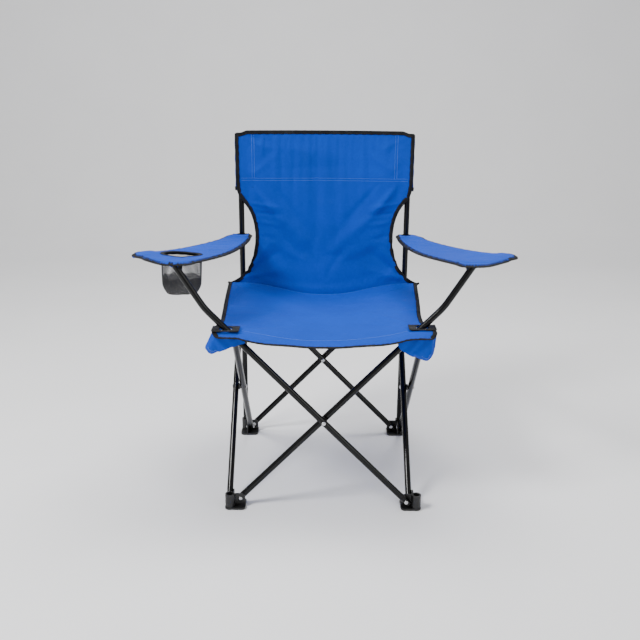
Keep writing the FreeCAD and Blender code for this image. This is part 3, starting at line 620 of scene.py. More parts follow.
blueCloth = clothMaterial("blue_cloth", {
    "tint": (0.0035, 0.058, 0.46, 1), "pitch": 0.00075, "relief": 0.00016, "crumple": 0.0022,
    "rough": 0.72, "gloss": 0.16, "sheen": 0.035, "sheenTint": (0.35, 0.55, 1, 1)})
blackTape = tapeMaterial("black_tape", {
    "tint": (0.0045, 0.0045, 0.005, 1), "rib": 0.0011, "relief": 0.0002, "rough": 0.7, "sheen": 0.01})
webbing = tapeMaterial("black_webbing", {
    "tint": (0.007, 0.007, 0.0075, 1), "rib": 0.0021, "relief": 0.00035, "rough": 0.55, "sheen": 0.03})
paleThread = tapeMaterial("pale_thread", {
    "tint": (0.13, 0.27, 0.68, 1), "rib": 0.0004, "relief": 0.00008, "rough": 0.5, "sheen": 0.2})
blackThread = tapeMaterial("black_thread", {
    "tint": (0.02, 0.02, 0.021, 1), "rib": 0.0004, "relief": 0.00008, "rough": 0.4, "sheen": 0.15})
netThread = tapeMaterial("grey_net", {
    "tint": (0.06, 0.06, 0.062, 1), "rib": 0.0006, "relief": 0.0001, "rough": 0.5, "sheen": 0.1})
glossPaint = hardMaterial("gloss_paint", {
    "tint": (0.0015, 0.0015, 0.0016, 1), "scuff": (0.02, 0.02, 0.02, 1), "wear": 0.25, "grain": 1400.0,
    "grainDepth": 0.000008, "wave": 170.0, "waveDepth": 0.00008, "rough": 0.15, "dull": 0.2, "gloss": 0.26,
    "coat": 0.0, "metal": 0.0})
moulded = hardMaterial("moulded_plastic", {
    "tint": (0.006, 0.006, 0.0062, 1), "scuff": (0.05, 0.05, 0.048, 1), "wear": 0.5, "grain": 1700.0,
    "grainDepth": 0.00012, "wave": 60.0, "waveDepth": 0.00012, "rough": 0.38, "dull": 0.25, "gloss": 0.5,
    "coat": 0.0, "metal": 0.0})
brushed = hardMaterial("rivet_steel", {
    "tint": (0.62, 0.62, 0.63, 1), "scuff": (0.30, 0.29, 0.28, 1), "wear": 0.7, "grain": 2600.0,
    "grainDepth": 0.00003, "wave": 400.0, "waveDepth": 0.00005, "rough": 0.28, "dull": 0.2, "gloss": 0.5,
    "coat": 0.0, "metal": 1.0})

# the frame's own parts keep their shapes and take these finishes
hardFinish = {"black_paint": glossPaint, "black_plastic": moulded, "rivet_steel": brushed}
slotOfNode = {part["node"]: part["material_slot"] for part in frame["record"]["subparts"]}
for nodeName, node in frame["nodes"].items():
    if slotOfNode[nodeName] in hardFinish:
        for materialSlot in node.material_slots:
            materialSlot.material = hardFinish[slotOfNode[nodeName]]
print("materials ready")

# seat shape, which the back also follows at its seam
seat = {
    "level": 0.4745, "sag": 0.022, "rearSag": 0.011, "shoulder": 0.232, "trough": 0.020, "rear": 0.221,
    "front": -0.274,
    "crease": -0.0205, "gap": 0.0003, "dip": 0.002, "lip": 0.007, "lipRun": 0.075, "edgeDrop": 0.009,
    "foldRise": 1.6,
    "sides": {-1: [(-0.274, 0.249), (-0.269, 0.259), (-0.256, 0.2655), (-0.225, 0.2665), (-0.200, 0.2600),
                   (-0.160, 0.2545), (-0.100, 0.2575), (0.0, 0.2640), (0.1, 0.2695),
                   (0.221, 0.2755)],
              1: [(-0.274, 0.249), (-0.269, 0.259), (-0.256, 0.2655), (-0.225, 0.2650), (-0.200, 0.2530),
                  (-0.160, 0.2430), (-0.100, 0.2440), (0.0, 0.2530), (0.1, 0.2610),
                  (0.221, 0.2700)]},
    "tubeLine": {-1: -0.239, 1: -0.219}, "holeRadius": 0.0135, "hem": 0.040,
    "settle": {"cell": 0.0085, "quality": 5, "bending": 0.4, "slack": 0.006, "frames": 22, "cap": 0.0030},
}


def tubeAcross(height):
    # distance of a front tube's axis from the middle of the chair at a height above the seat corner
    return 0.210 + (height - 0.453) * 420 / 430


def seatBase(flat):
    x, y = flat[:, 0], flat[:, 1]
    low = smoothstep((seat["shoulder"] - np.abs(x)) / (seat["shoulder"] - seat["trough"]))
    middle = np.cos(np.clip((y + 0.02) / 0.26, -1, 1) * math.pi / 2)
    lip = seat["lip"] * smoothstep((seat["front"] + seat["lipRun"] - y) / seat["lipRun"]) * smoothstep((0.215
        - np.abs(x)) / 0.09)
    deep = seat["sag"] + seat["rearSag"] * smoothstep(y / seat["rear"])
    # the front edge turns down past the corner patches
    turned = seat["edgeDrop"] * smoothstep((-0.250 - y) / 0.022) * smoothstep((np.abs(x) - 0.06) / 0.13)
    return np.stack([x, y, seat["level"] - deep * low - seat["dip"] * low * middle - lip - turned], 1)


def sideLine(sign, start, end):
    # flat points along one side of the seat, from one depth to the other
    depths, halves = zip(*seat["sides"][sign])
    y = np.linspace(start, end, max(int(abs(end - start) / 0.004), 2))
    return np.stack([sign * smoothAlong(depths, halves, y), y], 1)


def smoothAlong(places, values, at):
    # smooth curve through the values
    spots = np.linspace(places[0], places[-1], 300)
    return np.interp(at, spots, soften(np.interp(spots, places, values), 40))


seatOutline = np.vstack([sideLine(-1, seat["rear"], seat["front"]), sideLine(1, seat["front"], seat["rear"])])


def seatPinned(flat):
    x, y = np.abs(flat[:, 0]), flat[:, 1]
    return (y > seat["rear"] - 0.012) | ((x > 0.19) & (y < -0.19)) | (x > 0.255)


seatMoved = hangCloth(seatBase, seatOutline, seatPinned, seat["settle"])
seatFolds = [
    ((-0.190, -0.205), (-0.060, -0.110), 0.014, -0.0016), ((0.190, -0.190), (0.070, -0.090), 0.014, -0.0016),
    ((-0.200, -0.180), (-0.110, -0.040), 0.012, 0.0014), ((0.205, -0.165), (0.080, 0.020), 0.012, 0.0015),
    ((-0.262, 0.205), (-0.130, 0.120), 0.013, -0.0016), ((0.262, 0.205), (0.120, 0.130), 0.013, -0.0018),
    ((-0.250, 0.212), (-0.160, 0.196), 0.007, 0.0012), ((0.250, 0.212), (0.150, 0.200), 0.007, 0.0012),
    ((-0.262, -0.100), (-0.150, -0.080), 0.016, 0.0011), ((0.262, -0.060), (0.140, -0.050), 0.016, 0.0012),
    ((-0.130, -0.030), (0.110, -0.150), 0.020, -0.0010), ((0.030, 0.090), (0.230, 0.020), 0.015, 0.0010),
]


def seatLift(flat):
    out = seatBase(flat) + seatMoved(flat)
    out[:, 2] += seat["foldRise"] * folds(flat, seatFolds)
    return out


def circle(centre, radius, count=40):
    a = np.linspace(0, 2 * math.pi, count, endpoint=False)
    return np.stack([centre[0] + radius * np.cos(a), centre[1] + radius * np.sin(a)], 1)


seatHoles = [circle((sign * tubeAcross(seat["level"]), seat["tubeLine"][sign]), seat["holeRadius"])
             for sign in (-1, 1)]
creaseBehind, creaseAhead = seat["crease"] + seat["gap"], seat["crease"] - seat["gap"]
rearOutline = np.vstack([sideLine(-1, seat["rear"], creaseBehind), sideLine(1, creaseBehind, seat["rear"])])
frontEdge = np.vstack([sideLine(-1, creaseAhead, seat["front"]), sideLine(1, seat["front"], creaseAhead)])
seatRear = makeSheet("seat_cloth_rear", rearOutline, [], seatLift)
seatFront = makeSheet("seat_cloth_front", frontEdge, seatHoles, seatLift)
rearTapes, rearRows = [], []
for side, sign in sides:
    path = resample(sideLine(sign, creaseBehind, seat["rear"] - 0.001), tape["step"])
    piece, rows = bindEdge(f"seat_tape_rear_{side}", *edgeFrame(seatLift, path, sign))
    rearTapes.append(piece)
    rearRows += rows
frontTape, frontRows = bindEdge("seat_tape_front", *edgeFrame(seatLift, resample(frontEdge, tape["step"]), 1))
hemAt = seat["front"] + seat["hem"]
wander = np.linspace(-0.196, 0.196, 60)
hem = np.stack([wander, hemAt + 0.0012 * np.sin(wander * 31) + 0.004 * np.cos(wander * 8)], 1)
hemStitch = stitches("seat_stitch_hem", seamRow(seatLift, hem))
seamAcross = np.linspace(-0.262, 0.262, 80)
seam = np.stack([seamAcross, seat["rear"] - 0.006 + 0.0008 * np.sin(seamAcross * 47)], 1)
seamStitch = stitches("seat_stitch_seam", seamRow(seatLift, seam), pitch=0.0042, length=0.0026, thread=0.00024)
rearStitch = stitches("seat_stitch_tape_rear", rearRows, pitch=tape["stitch"])
frontStitch = stitches("seat_stitch_tape_front", frontRows, pitch=tape["stitch"])
for piece, material, body in (
    (seatRear, blueCloth, "seat_rear_half"), (seatFront, blueCloth, "seat_front_half"),
    (rearTapes[0], blackTape, "seat_rear_half"), (rearTapes[1], blackTape, "seat_rear_half"),
    (frontTape, blackTape, "seat_front_half"), (hemStitch, paleThread, "seat_front_half"),
    (seamStitch, paleThread, "seat_rear_half"), (rearStitch, blackThread, "seat_rear_half"),
    (frontStitch, blackThread, "seat_front_half"),
):
    finishPiece(piece, material, body, "across")
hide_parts("seat_rear")
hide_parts("seat_front")
print("seat ready")


# back panel: cut with a waist, hung between the posts and sewn to the seat
back = {
    "width": [(0.470, 0.276), (0.478, 0.262), (0.489, 0.242), (0.514, 0.2200), (0.552, 0.2030), (0.590, 0.1960),
              (0.620, 0.1950), (0.650, 0.1985), (0.673, 0.2050), (0.692, 0.2140), (0.710, 0.2270),
              (0.722, 0.2370), (0.738, 0.2440), (0.760, 0.2470),
              (0.905, 0.2480)],
    "low": 0.470, "top": 0.9060, "bowRadius": 1.1656, "bowFront": 0.2439, "seamDepth": 0.2222,
    "cornerDrop": 0.006, "foldRise": 1.9,
    "settle": {"cell": 0.0085, "quality": 5, "bending": 0.4, "slack": 0.012, "frames": 26, "cap": 0.0042},
}
backHeights = np.linspace(back["low"], back["top"] + 0.02, 400)
backWidths = soften(np.interp(backHeights, *zip(*back["width"])), 30)


def backHalf(z):
    return np.interp(z, backHeights, backWidths)


def backBase(flat):
    x, z = flat[:, 0], flat[:, 1]
    share = np.clip((z - back["low"]) / (back["top"] - back["low"]), 0, 1)
    seam = seatLift(np.stack([np.clip(x, -0.27, 0.27), np.full(len(x), seat["rear"] - 0.001)], 1))[:, 2]
    height = z + (seam - 0.0040 - back["low"]) * (1 - share) ** 14
    height -= back["cornerDrop"] * smoothstep((np.abs(x) - 0.214) / 0.022) * share**24
    centre = back["bowFront"] - back["bowRadius"]
    bow = centre + np.sqrt(back["bowRadius"] ** 2 - x**2)
    depth = back["seamDepth"] + (bow - back["seamDepth"]) * smoothstep((z - back["low"]) / 0.13)
    return np.stack([x, depth, height], 1)


def backPinned(flat):
    x, z = np.abs(flat[:, 0]), flat[:, 1]
    return ((x > 0.212) & (z > 0.735)) | (z < back["low"]
                                          + 0.010) | ((x > 0.225) & (z < 0.52)) | (z > back["top"] - 0.012)


sideHeights = np.linspace(back["low"] + 0.0005, back["top"] - 0.007, 150)
leftSide = np.stack([-backHalf(sideHeights), sideHeights], 1)
topWidth = backHalf(back["top"])
topLeft = roundCorners([leftSide[-1], (-topWidth, back["top"]), (-topWidth + 0.02, back["top"])], [0, 0.006, 0])
bindLine = np.vstack([leftSide[:-1], topLeft])
bindLine = np.vstack([bindLine, (bindLine * (-1, 1))[::-1]])
backOutline = bindLine[::-1]
backMoved = hangCloth(backBase, backOutline, backPinned, back["settle"])
sideFolds = [
    ((0.196, 0.742), (0.012, 0.545), 0.017, 0.0024), ((0.150, 0.760), (0.020, 0.600), 0.013, -0.0014),
    ((0.205, 0.765), (0.120, 0.640), 0.010, 0.0013), ((0.212, 0.708), (0.120, 0.690), 0.006, 0.0016),
    ((0.198, 0.680), (0.115, 0.672), 0.006, -0.0015), ((0.190, 0.655), (0.118, 0.640), 0.006, 0.0013),
    ((0.186, 0.615), (0.130, 0.600), 0.007, -0.0010), ((0.262, 0.482), (0.110, 0.520), 0.010, 0.0018),
    ((0.240, 0.487), (0.120, 0.575), 0.010, -0.0018), ((0.225, 0.500), (0.150, 0.600), 0.008, 0.0014),
    ((0.225, 0.890), (0.150, 0.850), 0.008, 0.0010), ((0.200, 0.790), (0.120, 0.850), 0.010, 0.0008),
]
backFolds = onSide(-1, sideFolds) + onSide(1, sideFolds)
backFolds += [((-0.005, 0.500), (-0.075, 0.640), 0.014, -0.0012),
              ((0.010, 0.505), (0.085, 0.620), 0.014, -0.0012),
              ((-0.180, 0.865), (0.060, 0.840), 0.016, 0.0007),
              ((-0.150, 0.800), (0.140, 0.815), 0.014, -0.0006)]


def backLift(flat):
    # folds shift the cloth along Y, following the listed fold lines
    out = backBase(flat) + backMoved(flat)
    out[:, 1] -= back["foldRise"] * folds(flat, backFolds)
    return out


backCloth = makeSheet("back_cloth", backOutline, [], backLift)
backTape, backRows = bindEdge("back_tape", *edgeFrame(backLift, resample(bindLine, tape["step"]), -1))
bandRows = []
for z in (0.7765, 0.7700):
    bandRows += seamRow(backLift, [(-0.233, z), (0.233, z)])
for sign in (-1, 1):
    for x in (0.2035, 0.1970):
        bandRows += seamRow(backLift, [(sign * x, 0.7765), (sign * x, 0.897)])
backStitch = stitches("back_stitch", bandRows)
backTapeStitch = stitches("back_stitch_tape", backRows, pitch=tape["stitch"])

# cloth that wraps round each post and closes over its top
sleeve = {"low": 0.7440, "top": 0.9045, "closeAt": 0.8885, "hemIn": 0.001,
          "round": [(0.2462, 0.2172), (0.2474, 0.2260), (0.2480, 0.2360), (0.2448, 0.2450), (0.2360, 0.2485),
                    (0.2270, 0.2450), (0.2190, 0.2360), (0.2110, 0.2285), (0.2000, 0.2245)]}
wrapLine = resample(smoothLoop(sleeve["round"])[:14 * (len(sleeve["round"]) - 1) + 1], 0.001)
wrapRun = np.linspace(0, 1, len(wrapLine))


def sleeveLift(sign):
    length = np.linalg.norm(np.diff(wrapLine, axis=0), axis=1).sum()

    def lift(flat):
        s = np.clip(flat[:, 0] / length, 0, 1)
        x, y = np.interp(s, wrapRun, wrapLine[:, 0]), np.interp(s, wrapRun, wrapLine[:, 1])
        z = flat[:, 1]
        front = backLift(np.stack([sign * np.minimum(x, 0.2455), np.minimum(z, back["top"] - 0.001)], 1))
        close = smoothstep((z - sleeve["closeAt"]) / (sleeve["top"] - sleeve["closeAt"]))
        y = np.maximum(y, front[:, 1] + 0.0011)
        y = y + (front[:, 1] + 0.0016 - y) * close
        x = x + (np.minimum(x, 0.2455) - x) * close
        x = x + 0.0004 * np.sin(z * 160 + s * 7)
        y = y + 0.0005 * np.sin(z * 120 + s * 9) * smoothstep(s * 4) * smoothstep((1 - s) * 4)
        z = z - back["cornerDrop"] * smoothstep((x - 0.214) / 0.022) * close
        return np.stack([sign * x, y, z], 1)

    return lift, length


for side, sign in sides:
    lift, length = sleeveLift(sign)
    shape = np.array([(0, sleeve["low"]), (length, sleeve["low"]), (length, sleeve["top"]), (0, sleeve["top"])])
    wrap = makeSheet(f"sleeve_cloth_{side}", shape, [], lift, spacing=0.0036)
    hemTape, hemRows = bindEdge(f"sleeve_tape_{side}",
                                *edgeFrame(lift, resample([(sleeve["hemIn"], sleeve["low"]),
                                                           (length - sleeve["hemIn"], sleeve["low"])], 0.002),
                                                           1))
    closing = stitches(f"sleeve_stitch_{side}",
                       hemRows + seamRow(lift, [(length - 0.0035, 0.748), (length - 0.0035, 0.897)],
                                         both=False), pitch=tape["stitch"])
    for piece, material in ((wrap, blueCloth), (hemTape, blackTape), (closing, blackThread)):
        finishPiece(piece, material, f"rear_{side}_corner")
    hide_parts(f"sleeve_{side}")

# the tape ends stand out as small tails at the seat's rear corners
tails = []
for side, sign in sides:
    line = np.array([(sign * 0.266, 0.2195, 0.4775), (sign * 0.2705, 0.2192, 0.4762),
                     (sign * 0.2740, 0.2188, 0.4768), (sign * 0.2765, 0.2185, 0.4788)])
    line = resample(line, 0.0015)
    ahead = unit(np.gradient(line, axis=0))
    flatWay = unit(np.cross(ahead, np.array([0, 1.0, 0])) * -sign)
    tail, _ = bindEdge(f"back_tape_tail_{side}", line, flatWay, np.tile([0, -1.0, 0], (len(line), 1)),
                       width=0.0052)
    tails.append(tail)
for piece, material in ((backCloth, blueCloth), (backTape, blackTape), (backStitch, paleThread),
                        (backTapeStitch, blackThread), (tails[0], blackTape), (tails[1], blackTape)):
    finishPiece(piece, material, "rear_left_corner", "across")
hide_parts("back_panel")
print("back ready")

# webbing patches and corner pockets at the front of the seat
patch = {"long": 0.066, "wide": 0.043, "corner": 0.005, "height": 0.47790, "thickness": 0.0015, "hole": 0.0165,
         "rib": 0.0031, "ribRise": 0.00022, "mesh": 0.0017, "inset": 0.0042}
pocket = {
    -1: {"outline": [(-0.1860, 0.4675), (-0.1880, 0.4480), (-0.2185, 0.4385), (-0.2440, 0.4280),
                     (-0.2640, 0.4175), (-0.2700, 0.4160), (-0.2765, 0.4190), (-0.2845, 0.4310),
                     (-0.2835, 0.4370), (-0.2770, 0.4500),
                     (-0.2680, 0.4690)],
         "closed": [(-0.2560, 0.4220), (-0.2640, 0.4175), (-0.2700, 0.4160), (-0.2765, 0.4190),
                    (-0.2845, 0.4310), (-0.2835, 0.4370), (-0.2770, 0.4500),
                    (-0.2680, 0.4690)],
         "stitch": [(-0.2560, 0.4300), (-0.2640, 0.4275), (-0.2710, 0.4300), (-0.2760, 0.4370)]},
    1: {"outline": [(0.1715, 0.4560), (0.1750, 0.4420), (0.1813, 0.4330), (0.2060, 0.4180), (0.2300, 0.4060),
                    (0.2400, 0.4025), (0.2475, 0.4020), (0.2550, 0.4090), (0.2608, 0.4210), (0.2640, 0.4400),
                    (0.2660, 0.4680),
                    (0.2100, 0.4690)],
        "closed": [(0.2180, 0.4115), (0.2300, 0.4060), (0.2400, 0.4025), (0.2475, 0.4020), (0.2550, 0.4090),
                   (0.2608, 0.4210), (0.2640, 0.4400),
                   (0.2660, 0.4680)],
        "stitch": [(0.2310, 0.4190), (0.2400, 0.4130), (0.2460, 0.4140), (0.2510, 0.4240)]},
    "middle": -0.2437, "ahead": 0.0140, "behind": 0.0148, "spread": 0.012,
}
for side, sign in sides:
    centre = np.array([sign * tubeAcross(patch["height"]), seat["tubeLine"][sign]])
    halfLong, halfWide = patch["long"] / 2, patch["wide"] / 2
    shape = roundCorners([centre + (-halfLong, -halfWide), centre + (halfLong, -halfWide),
                          centre + (halfLong, halfWide), centre + (-halfLong, halfWide)],
                         [patch["corner"]] * 4)

    def patchLift(flat, centre=centre):
        ribs = np.abs(np.sin(math.pi * (flat[:, 1] - centre[1]) / patch["rib"]))
        curl = 0.0006 * smoothstep((np.abs(flat[:, 0] - centre[0]) - 0.026) / 0.008)
        return np.stack([flat[:, 0], flat[:, 1], patch["height"] + patch["ribRise"] * ribs + curl], 1)

    plate = makeSheet(f"patch_{side}", shape, [circle(centre, patch["hole"])], patchLift, patch["mesh"],
                      patch["thickness"])
    rows = []
    for inset in (patch["inset"], patch["inset"] + 0.0028):
        box = [centre + (a * (halfLong - inset), b * (halfWide - inset))
               for a, b in ((-1, -1), (1, -1), (1, 1), (-1, 1), (-1, -1))]
        rows += seamRow(patchLift, box, both=False, lifted=patch["thickness"] / 2)
    rows += seamRow(patchLift, circle(centre, patch["hole"] + 0.0018, 60), both=False,
                    lifted=patch["thickness"] / 2)
    sewn = stitches(f"patch_stitch_{side}", rows, pitch=0.0026, length=0.0021, thread=0.00036)
    outline = resample(pocket[sign]["outline"], 0.003, True)
    closedEdge = resample(pocket[sign]["closed"], 0.0015)
    if sign > 0:
        outline = outline[::-1]

    def bag(reach):
        def lift(flat):
            opened = smoothstep(nearest(flat, closedEdge) / pocket["spread"])
            crease = 0.0012 * np.sin((flat[:, 0] * -sign + flat[:, 1] * 0.8) * 210) * opened
            return np.stack([flat[:, 0], pocket["middle"] + (reach + crease) * opened, flat[:, 1]], 1)
        return lift

    front = makeSheet(f"corner_pocket_front_{side}", outline, [], bag(-pocket["ahead"]), spacing=0.0034)
    rear = makeSheet(f"corner_pocket_rear_{side}", outline, [], bag(pocket["behind"]), spacing=0.0034)
    nearTip = stitches(f"corner_pocket_stitch_{side}",
                       seamRow(bag(-pocket["ahead"]), pocket[sign]["stitch"], 0.0015), pitch=0.0028)
    for piece, material in ((plate, webbing), (sewn, blackThread), (front, blueCloth), (rear, blueCloth),
                            (nearTip, paleThread)):
        finishPiece(piece, material, f"{side}_seat_corner")
    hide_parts(f"corner_patch_{side}")
    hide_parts(f"corner_pocket_{side}")
print("seat corners ready")


# armrests: leaf-shaped cloth from the post to the arm, bound all round
arm = {
    "leaf": [(-0.2130, 0.2570), (-0.2085, 0.2250), (-0.2130, 0.1300), (-0.2290, 0.0200), (-0.2490, -0.0850),
             (-0.2720, -0.1650), (-0.2980, -0.2300), (-0.3180, -0.2680), (-0.3600, -0.2720), (-0.4170, -0.2260),
             (-0.4560, -0.1840), (-0.4660, -0.1300), (-0.4480, -0.0960), (-0.4080, -0.0600), (-0.3530, 0.0500),
             (-0.3080, 0.1450), (-0.2780, 0.2200), (-0.2620, 0.2570),
             (-0.2380, 0.2700)],
    "height": 0.6140, "slope": math.tan(math.radians(3.5027)), "postAt": 0.236, "sag": 0.0060,
    "overArm": -0.0010,
    "lift": 0.0050, "curl": 0.0060, "curlRun": 0.014, "postHole": 0.0105,
    "armEnd": {-1: (-0.3478, -0.239), 1: (0.3478, -0.219)},
    "cup": (-0.352, -0.118), "cupRadius": 0.0425,
    "settle": {"cell": 0.0085, "quality": 5, "bending": 0.5, "slack": 0.008, "frames": 20, "cap": 0.0030},
}
armRibs = [
    ((0.300, -0.245), (0.330, -0.150), 0.007, 0.0012), ((0.335, -0.225), (0.350, -0.120), 0.007, -0.0011),
    ((0.365, -0.245), (0.375, -0.150), 0.006, 0.0011), ((0.395, -0.225), (0.400, -0.130), 0.006, -0.0011),
    ((0.425, -0.200), (0.425, -0.130), 0.006, 0.0010), ((0.222, 0.160), (0.290, 0.120), 0.007, 0.0009),
    ((0.226, 0.090), (0.310, 0.060), 0.008, -0.0009), ((0.240, 0.000), (0.340, -0.020), 0.009, 0.0010)
]
underPocket = {"opening": 0.334, "tip": 0.4570, "depth": 0.026, "tipDepth": 0.003, "long": 0.13, "wide": 0.07,
               "ahead": 0.013, "drift": 0.062, "across": 0.034, "widen": 0.004}


def armLift(sign):
    endX, endY = arm["armEnd"][sign]

    def lift(flat):
        x, y = flat[:, 0], flat[:, 1]
        along = np.clip((arm["postAt"] - y) / (arm["postAt"] - endY), 0, 1.1)
        lineX = sign * arm["postAt"] + (endX - sign * arm["postAt"]) * along
        out = (x - lineX) * sign
        z = arm["height"] + arm["slope"] * (arm["postAt"] - y)
        z -= arm["sag"] * np.sin(math.pi * np.clip(along, 0,
                                                   1)) ** 1.5 + arm["overArm"] * smoothstep((along - 0.4) / 0.5)
        z += arm["lift"] * smoothstep((out - 0.01) / 0.09) * smoothstep(along * 1.4)
        return np.stack([x, y, z], 1)

    return lift


for side, sign in sides:
    outline = smoothLoop(np.array(arm["leaf"]) * (-sign, 1), 10)
    if sign < 0:
        outline = outline[::-1]
    area = 0.5 * np.sum(outline[:, 0] * np.roll(outline[:, 1], -1) - np.roll(outline[:, 0], -1) * outline[:, 1])
    if area < 0:
        outline = outline[::-1]
    base = armLift(sign)
    endX, endY = arm["armEnd"][sign]

    def armPinned(flat, endX=endX, endY=endY, sign=sign):
        x, y = flat[:, 0], flat[:, 1]
        return (y > 0.20) | (np.hypot(x - endX, y - endY) < 0.03) | (np.abs(x - sign * 0.450) < 0.02)

    moved = hangCloth(base, outline, armPinned, arm["settle"])
    ribs = onSide(sign, armRibs)
    rim = resample(outline, 0.003, True)

    def lift(flat, base=base, moved=moved, ribs=ribs, rim=rim):
        out = base(flat) + moved(flat)
        out[:, 2] += folds(flat, ribs) - arm["curl"] * np.clip(1 - nearest(flat, rim) / arm["curlRun"], 0,
            1) ** 2
        return out

    postHole = circle((sign * arm["postAt"], 0.236), arm["postHole"], 32)
    holes = [postHole] + ([circle(arm["cup"], arm["cupRadius"], 64)] if sign < 0 else [])
    panel = makeSheet(f"armrest_cloth_{side}", outline, holes, lift)
    binding, rows = bindEdge(f"armrest_tape_{side}",
                             *edgeFrame(lift, resample(outline, tape["step"], True), 1), closed=True)
    eyelet, _ = bindEdge(f"armrest_eyelet_{side}",
        *edgeFrame(lift, resample(circle((sign * arm["postAt"], 0.236), arm["postHole"] + 0.0003), 0.0015,
                                  True), -1), closed=True, width=0.0040)
    sewn = stitches(f"armrest_stitch_{side}", rows, pitch=tape["stitch"])
    pieces = [(binding, blackTape), (eyelet, blackTape), (sewn, blackThread)]
    if sign < 0:
        cupRim, cupRows = bindEdge("cup_rim_tape",
                                   *edgeFrame(lift, resample(circle(arm["cup"], arm["cupRadius"]),
                                                             tape["step"], True), -1), closed=True)
        pieces += [(cupRim, blackTape),
                   (stitches("cup_rim_stitch", cupRows, pitch=tape["stitch"]), blackThread)]

    # cloth tunnel under the front that the arm's end slides into
    def tunnelLift(flat, sign=sign, endY=endY, lift=lift):
        s, t = flat[:, 0] / underPocket["long"], flat[:, 1] / underPocket["wide"]
        x = sign * (underPocket["opening"] + (underPocket["tip"] - underPocket["opening"]) * s)
        ahead = endY - underPocket["ahead"] + underPocket["drift"] * s
        wide = underPocket["across"] + underPocket["widen"] * s
        y = ahead + wide * t
        top = lift(np.stack([x, y], 1))[:, 2] - 0.0011
        depth = underPocket["depth"] * np.clip(1 - s, 0, 1) ** 1.8 + underPocket["tipDepth"] * s
        belly = np.clip(np.sin(math.pi * np.clip(t, 0, 1)), 0, 1) ** 0.55
        return np.stack([x, y, top - depth * belly], 1)

    long, wide = underPocket["long"], underPocket["wide"]
    tunnel = makeSheet(f"armrest_tunnel_{side}", np.array([(0, 0), (long, 0), (long, wide), (0, wide)]), [],
                       tunnelLift, spacing=0.004)
    mouth, _ = bindEdge(f"armrest_tunnel_tape_{side}",
                        *edgeFrame(tunnelLift, resample([(0.0003, 0.001), (0.0003, 0.069)], 0.002), -1),
                        width=0.0055)
    pieces += [(tunnel, blueCloth), (mouth, blackTape)]
    for piece, material in [(panel, blueCloth)] + pieces:
        finishPiece(piece, material, f"{side}_armrest", f"{side}Arm")
    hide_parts(f"armrest_{side}")
    if sign < 0:
        leftArmLift = lift
print("armrests ready")


# net cup holder: knotted diamonds, gathered under the bottom
net = {"columns": 66, "rows": 24, "depth": 0.0905, "thread": 0.00050, "rim": 0.0494, "belly": 0.0492,
       "bottom": 0.0400,
       "tilt": math.radians(3.5), "floorPitch": 0.0048}
rimCentre = leftArmLift(np.array([arm["cup"]]))[0]


def netPoint(angle, share):
    # share runs from 0 at the rim to 1 where the bottom begins
    radius = np.where(share < 0.75, net["rim"] + (net["belly"] - net["rim"]) * share,
                      net["belly"] - (net["belly"] - net["bottom"]) * ((share - 0.75) / 0.25) ** 2)
    slack = 0.5 * (1 - np.cos(math.pi * np.clip(share, 0, 1)))
    radius = radius * (1 - 0.018 * slack * (1 + np.sin(3 * angle + 0.7))
                       - 0.012 * slack * (1 + np.sin(5 * angle + 2 * share)))
    drop = net["depth"] * share * (1 + 0.02 * np.sin(2 * angle + 0.5))
    x, y = radius * np.cos(angle), radius * np.sin(angle)
    rimRise = leftArmLift(np.stack([arm["cup"][0] + x, arm["cup"][1] + y], 1))[:, 2] - rimCentre[2]
    return np.stack([rimCentre[0] + x, rimCentre[1] + y - math.sin(net["tilt"]) * drop,
                     rimCentre[2] + rimRise * (1 - share) - drop], 1)


def threads(name, starts, ends, radius):
    along = unit(ends - starts)
    side = unit(np.cross(along, np.where(np.abs(along[:, 2:3]) < 0.9, [[0, 0, 1.0]], [[1.0, 0, 0]])))
    up = np.cross(side, along)
    starts, ends = starts - along * radius * 0.5, ends + along * radius * 0.5
    verts = np.stack([end + side * (c * radius) + up * (s * radius) for end in (starts, ends)
                      for c, s in ((1, 0), (0, 1), (-1, 0), (0, -1))], 1)
    faces = []
    for k in range(len(starts)):
        b = k * 8
        faces += [(b + j, b + (j + 1) % 4, b + 4 + (j + 1) % 4, b + 4 + j) for j in range(4)]
        faces += [(b + 3, b + 2, b + 1, b), (b + 4, b + 5, b + 6, b + 7)]
    return makeObject(name, verts.reshape(-1, 3), faces,
                      verts.reshape(-1, 3)[:, :2] + verts.reshape(-1, 3)[:, 2:])


knots = []
for row in range(net["rows"] + 1):
    angles = 2 * math.pi * (np.arange(net["columns"]) + 0.5 * (row % 2)) / net["columns"]
    knots.append(netPoint(angles, np.full(net["columns"], row / net["rows"])))
starts, ends = [], []
for row in range(net["rows"]):
    for step in (0, -1 if row % 2 == 0 else 1):
        starts.append(knots[row])
        ends.append(np.roll(knots[row + 1], -step, 0))
# the slack end of the net bunches into loose pleats above the bottom
spin = np.linspace(0, 2 * math.pi, net["columns"] + 19)[:-1]
loose = []
for row, share in enumerate(np.linspace(0.60, 0.98, 12)):
    ring = netPoint(spin + 0.03 * row, np.full(len(spin), share))
    inward = unit((ring - ring.mean(0)) * (1, 1, 0))
    pleat = 0.0015 + 0.0026 * (share - 0.58) / 0.4 * (1 + np.sin(spin * 9 + row * 0.7) * np.sin(spin * 5 + 2))
    ring = ring - inward * pleat[:, None]
    ring[:, 2] += 0.0030 * np.sin(spin * 7 + row * 0.9)
    loose.append(ring)
for upper, lower in zip(loose[:-1], loose[1:]):
    starts += [upper, upper]
    ends += [lower, np.roll(lower, -2, 0)]
floorRing = knots[-1]
floorCentre, floorRadius = floorRing.mean(0), 0.0385


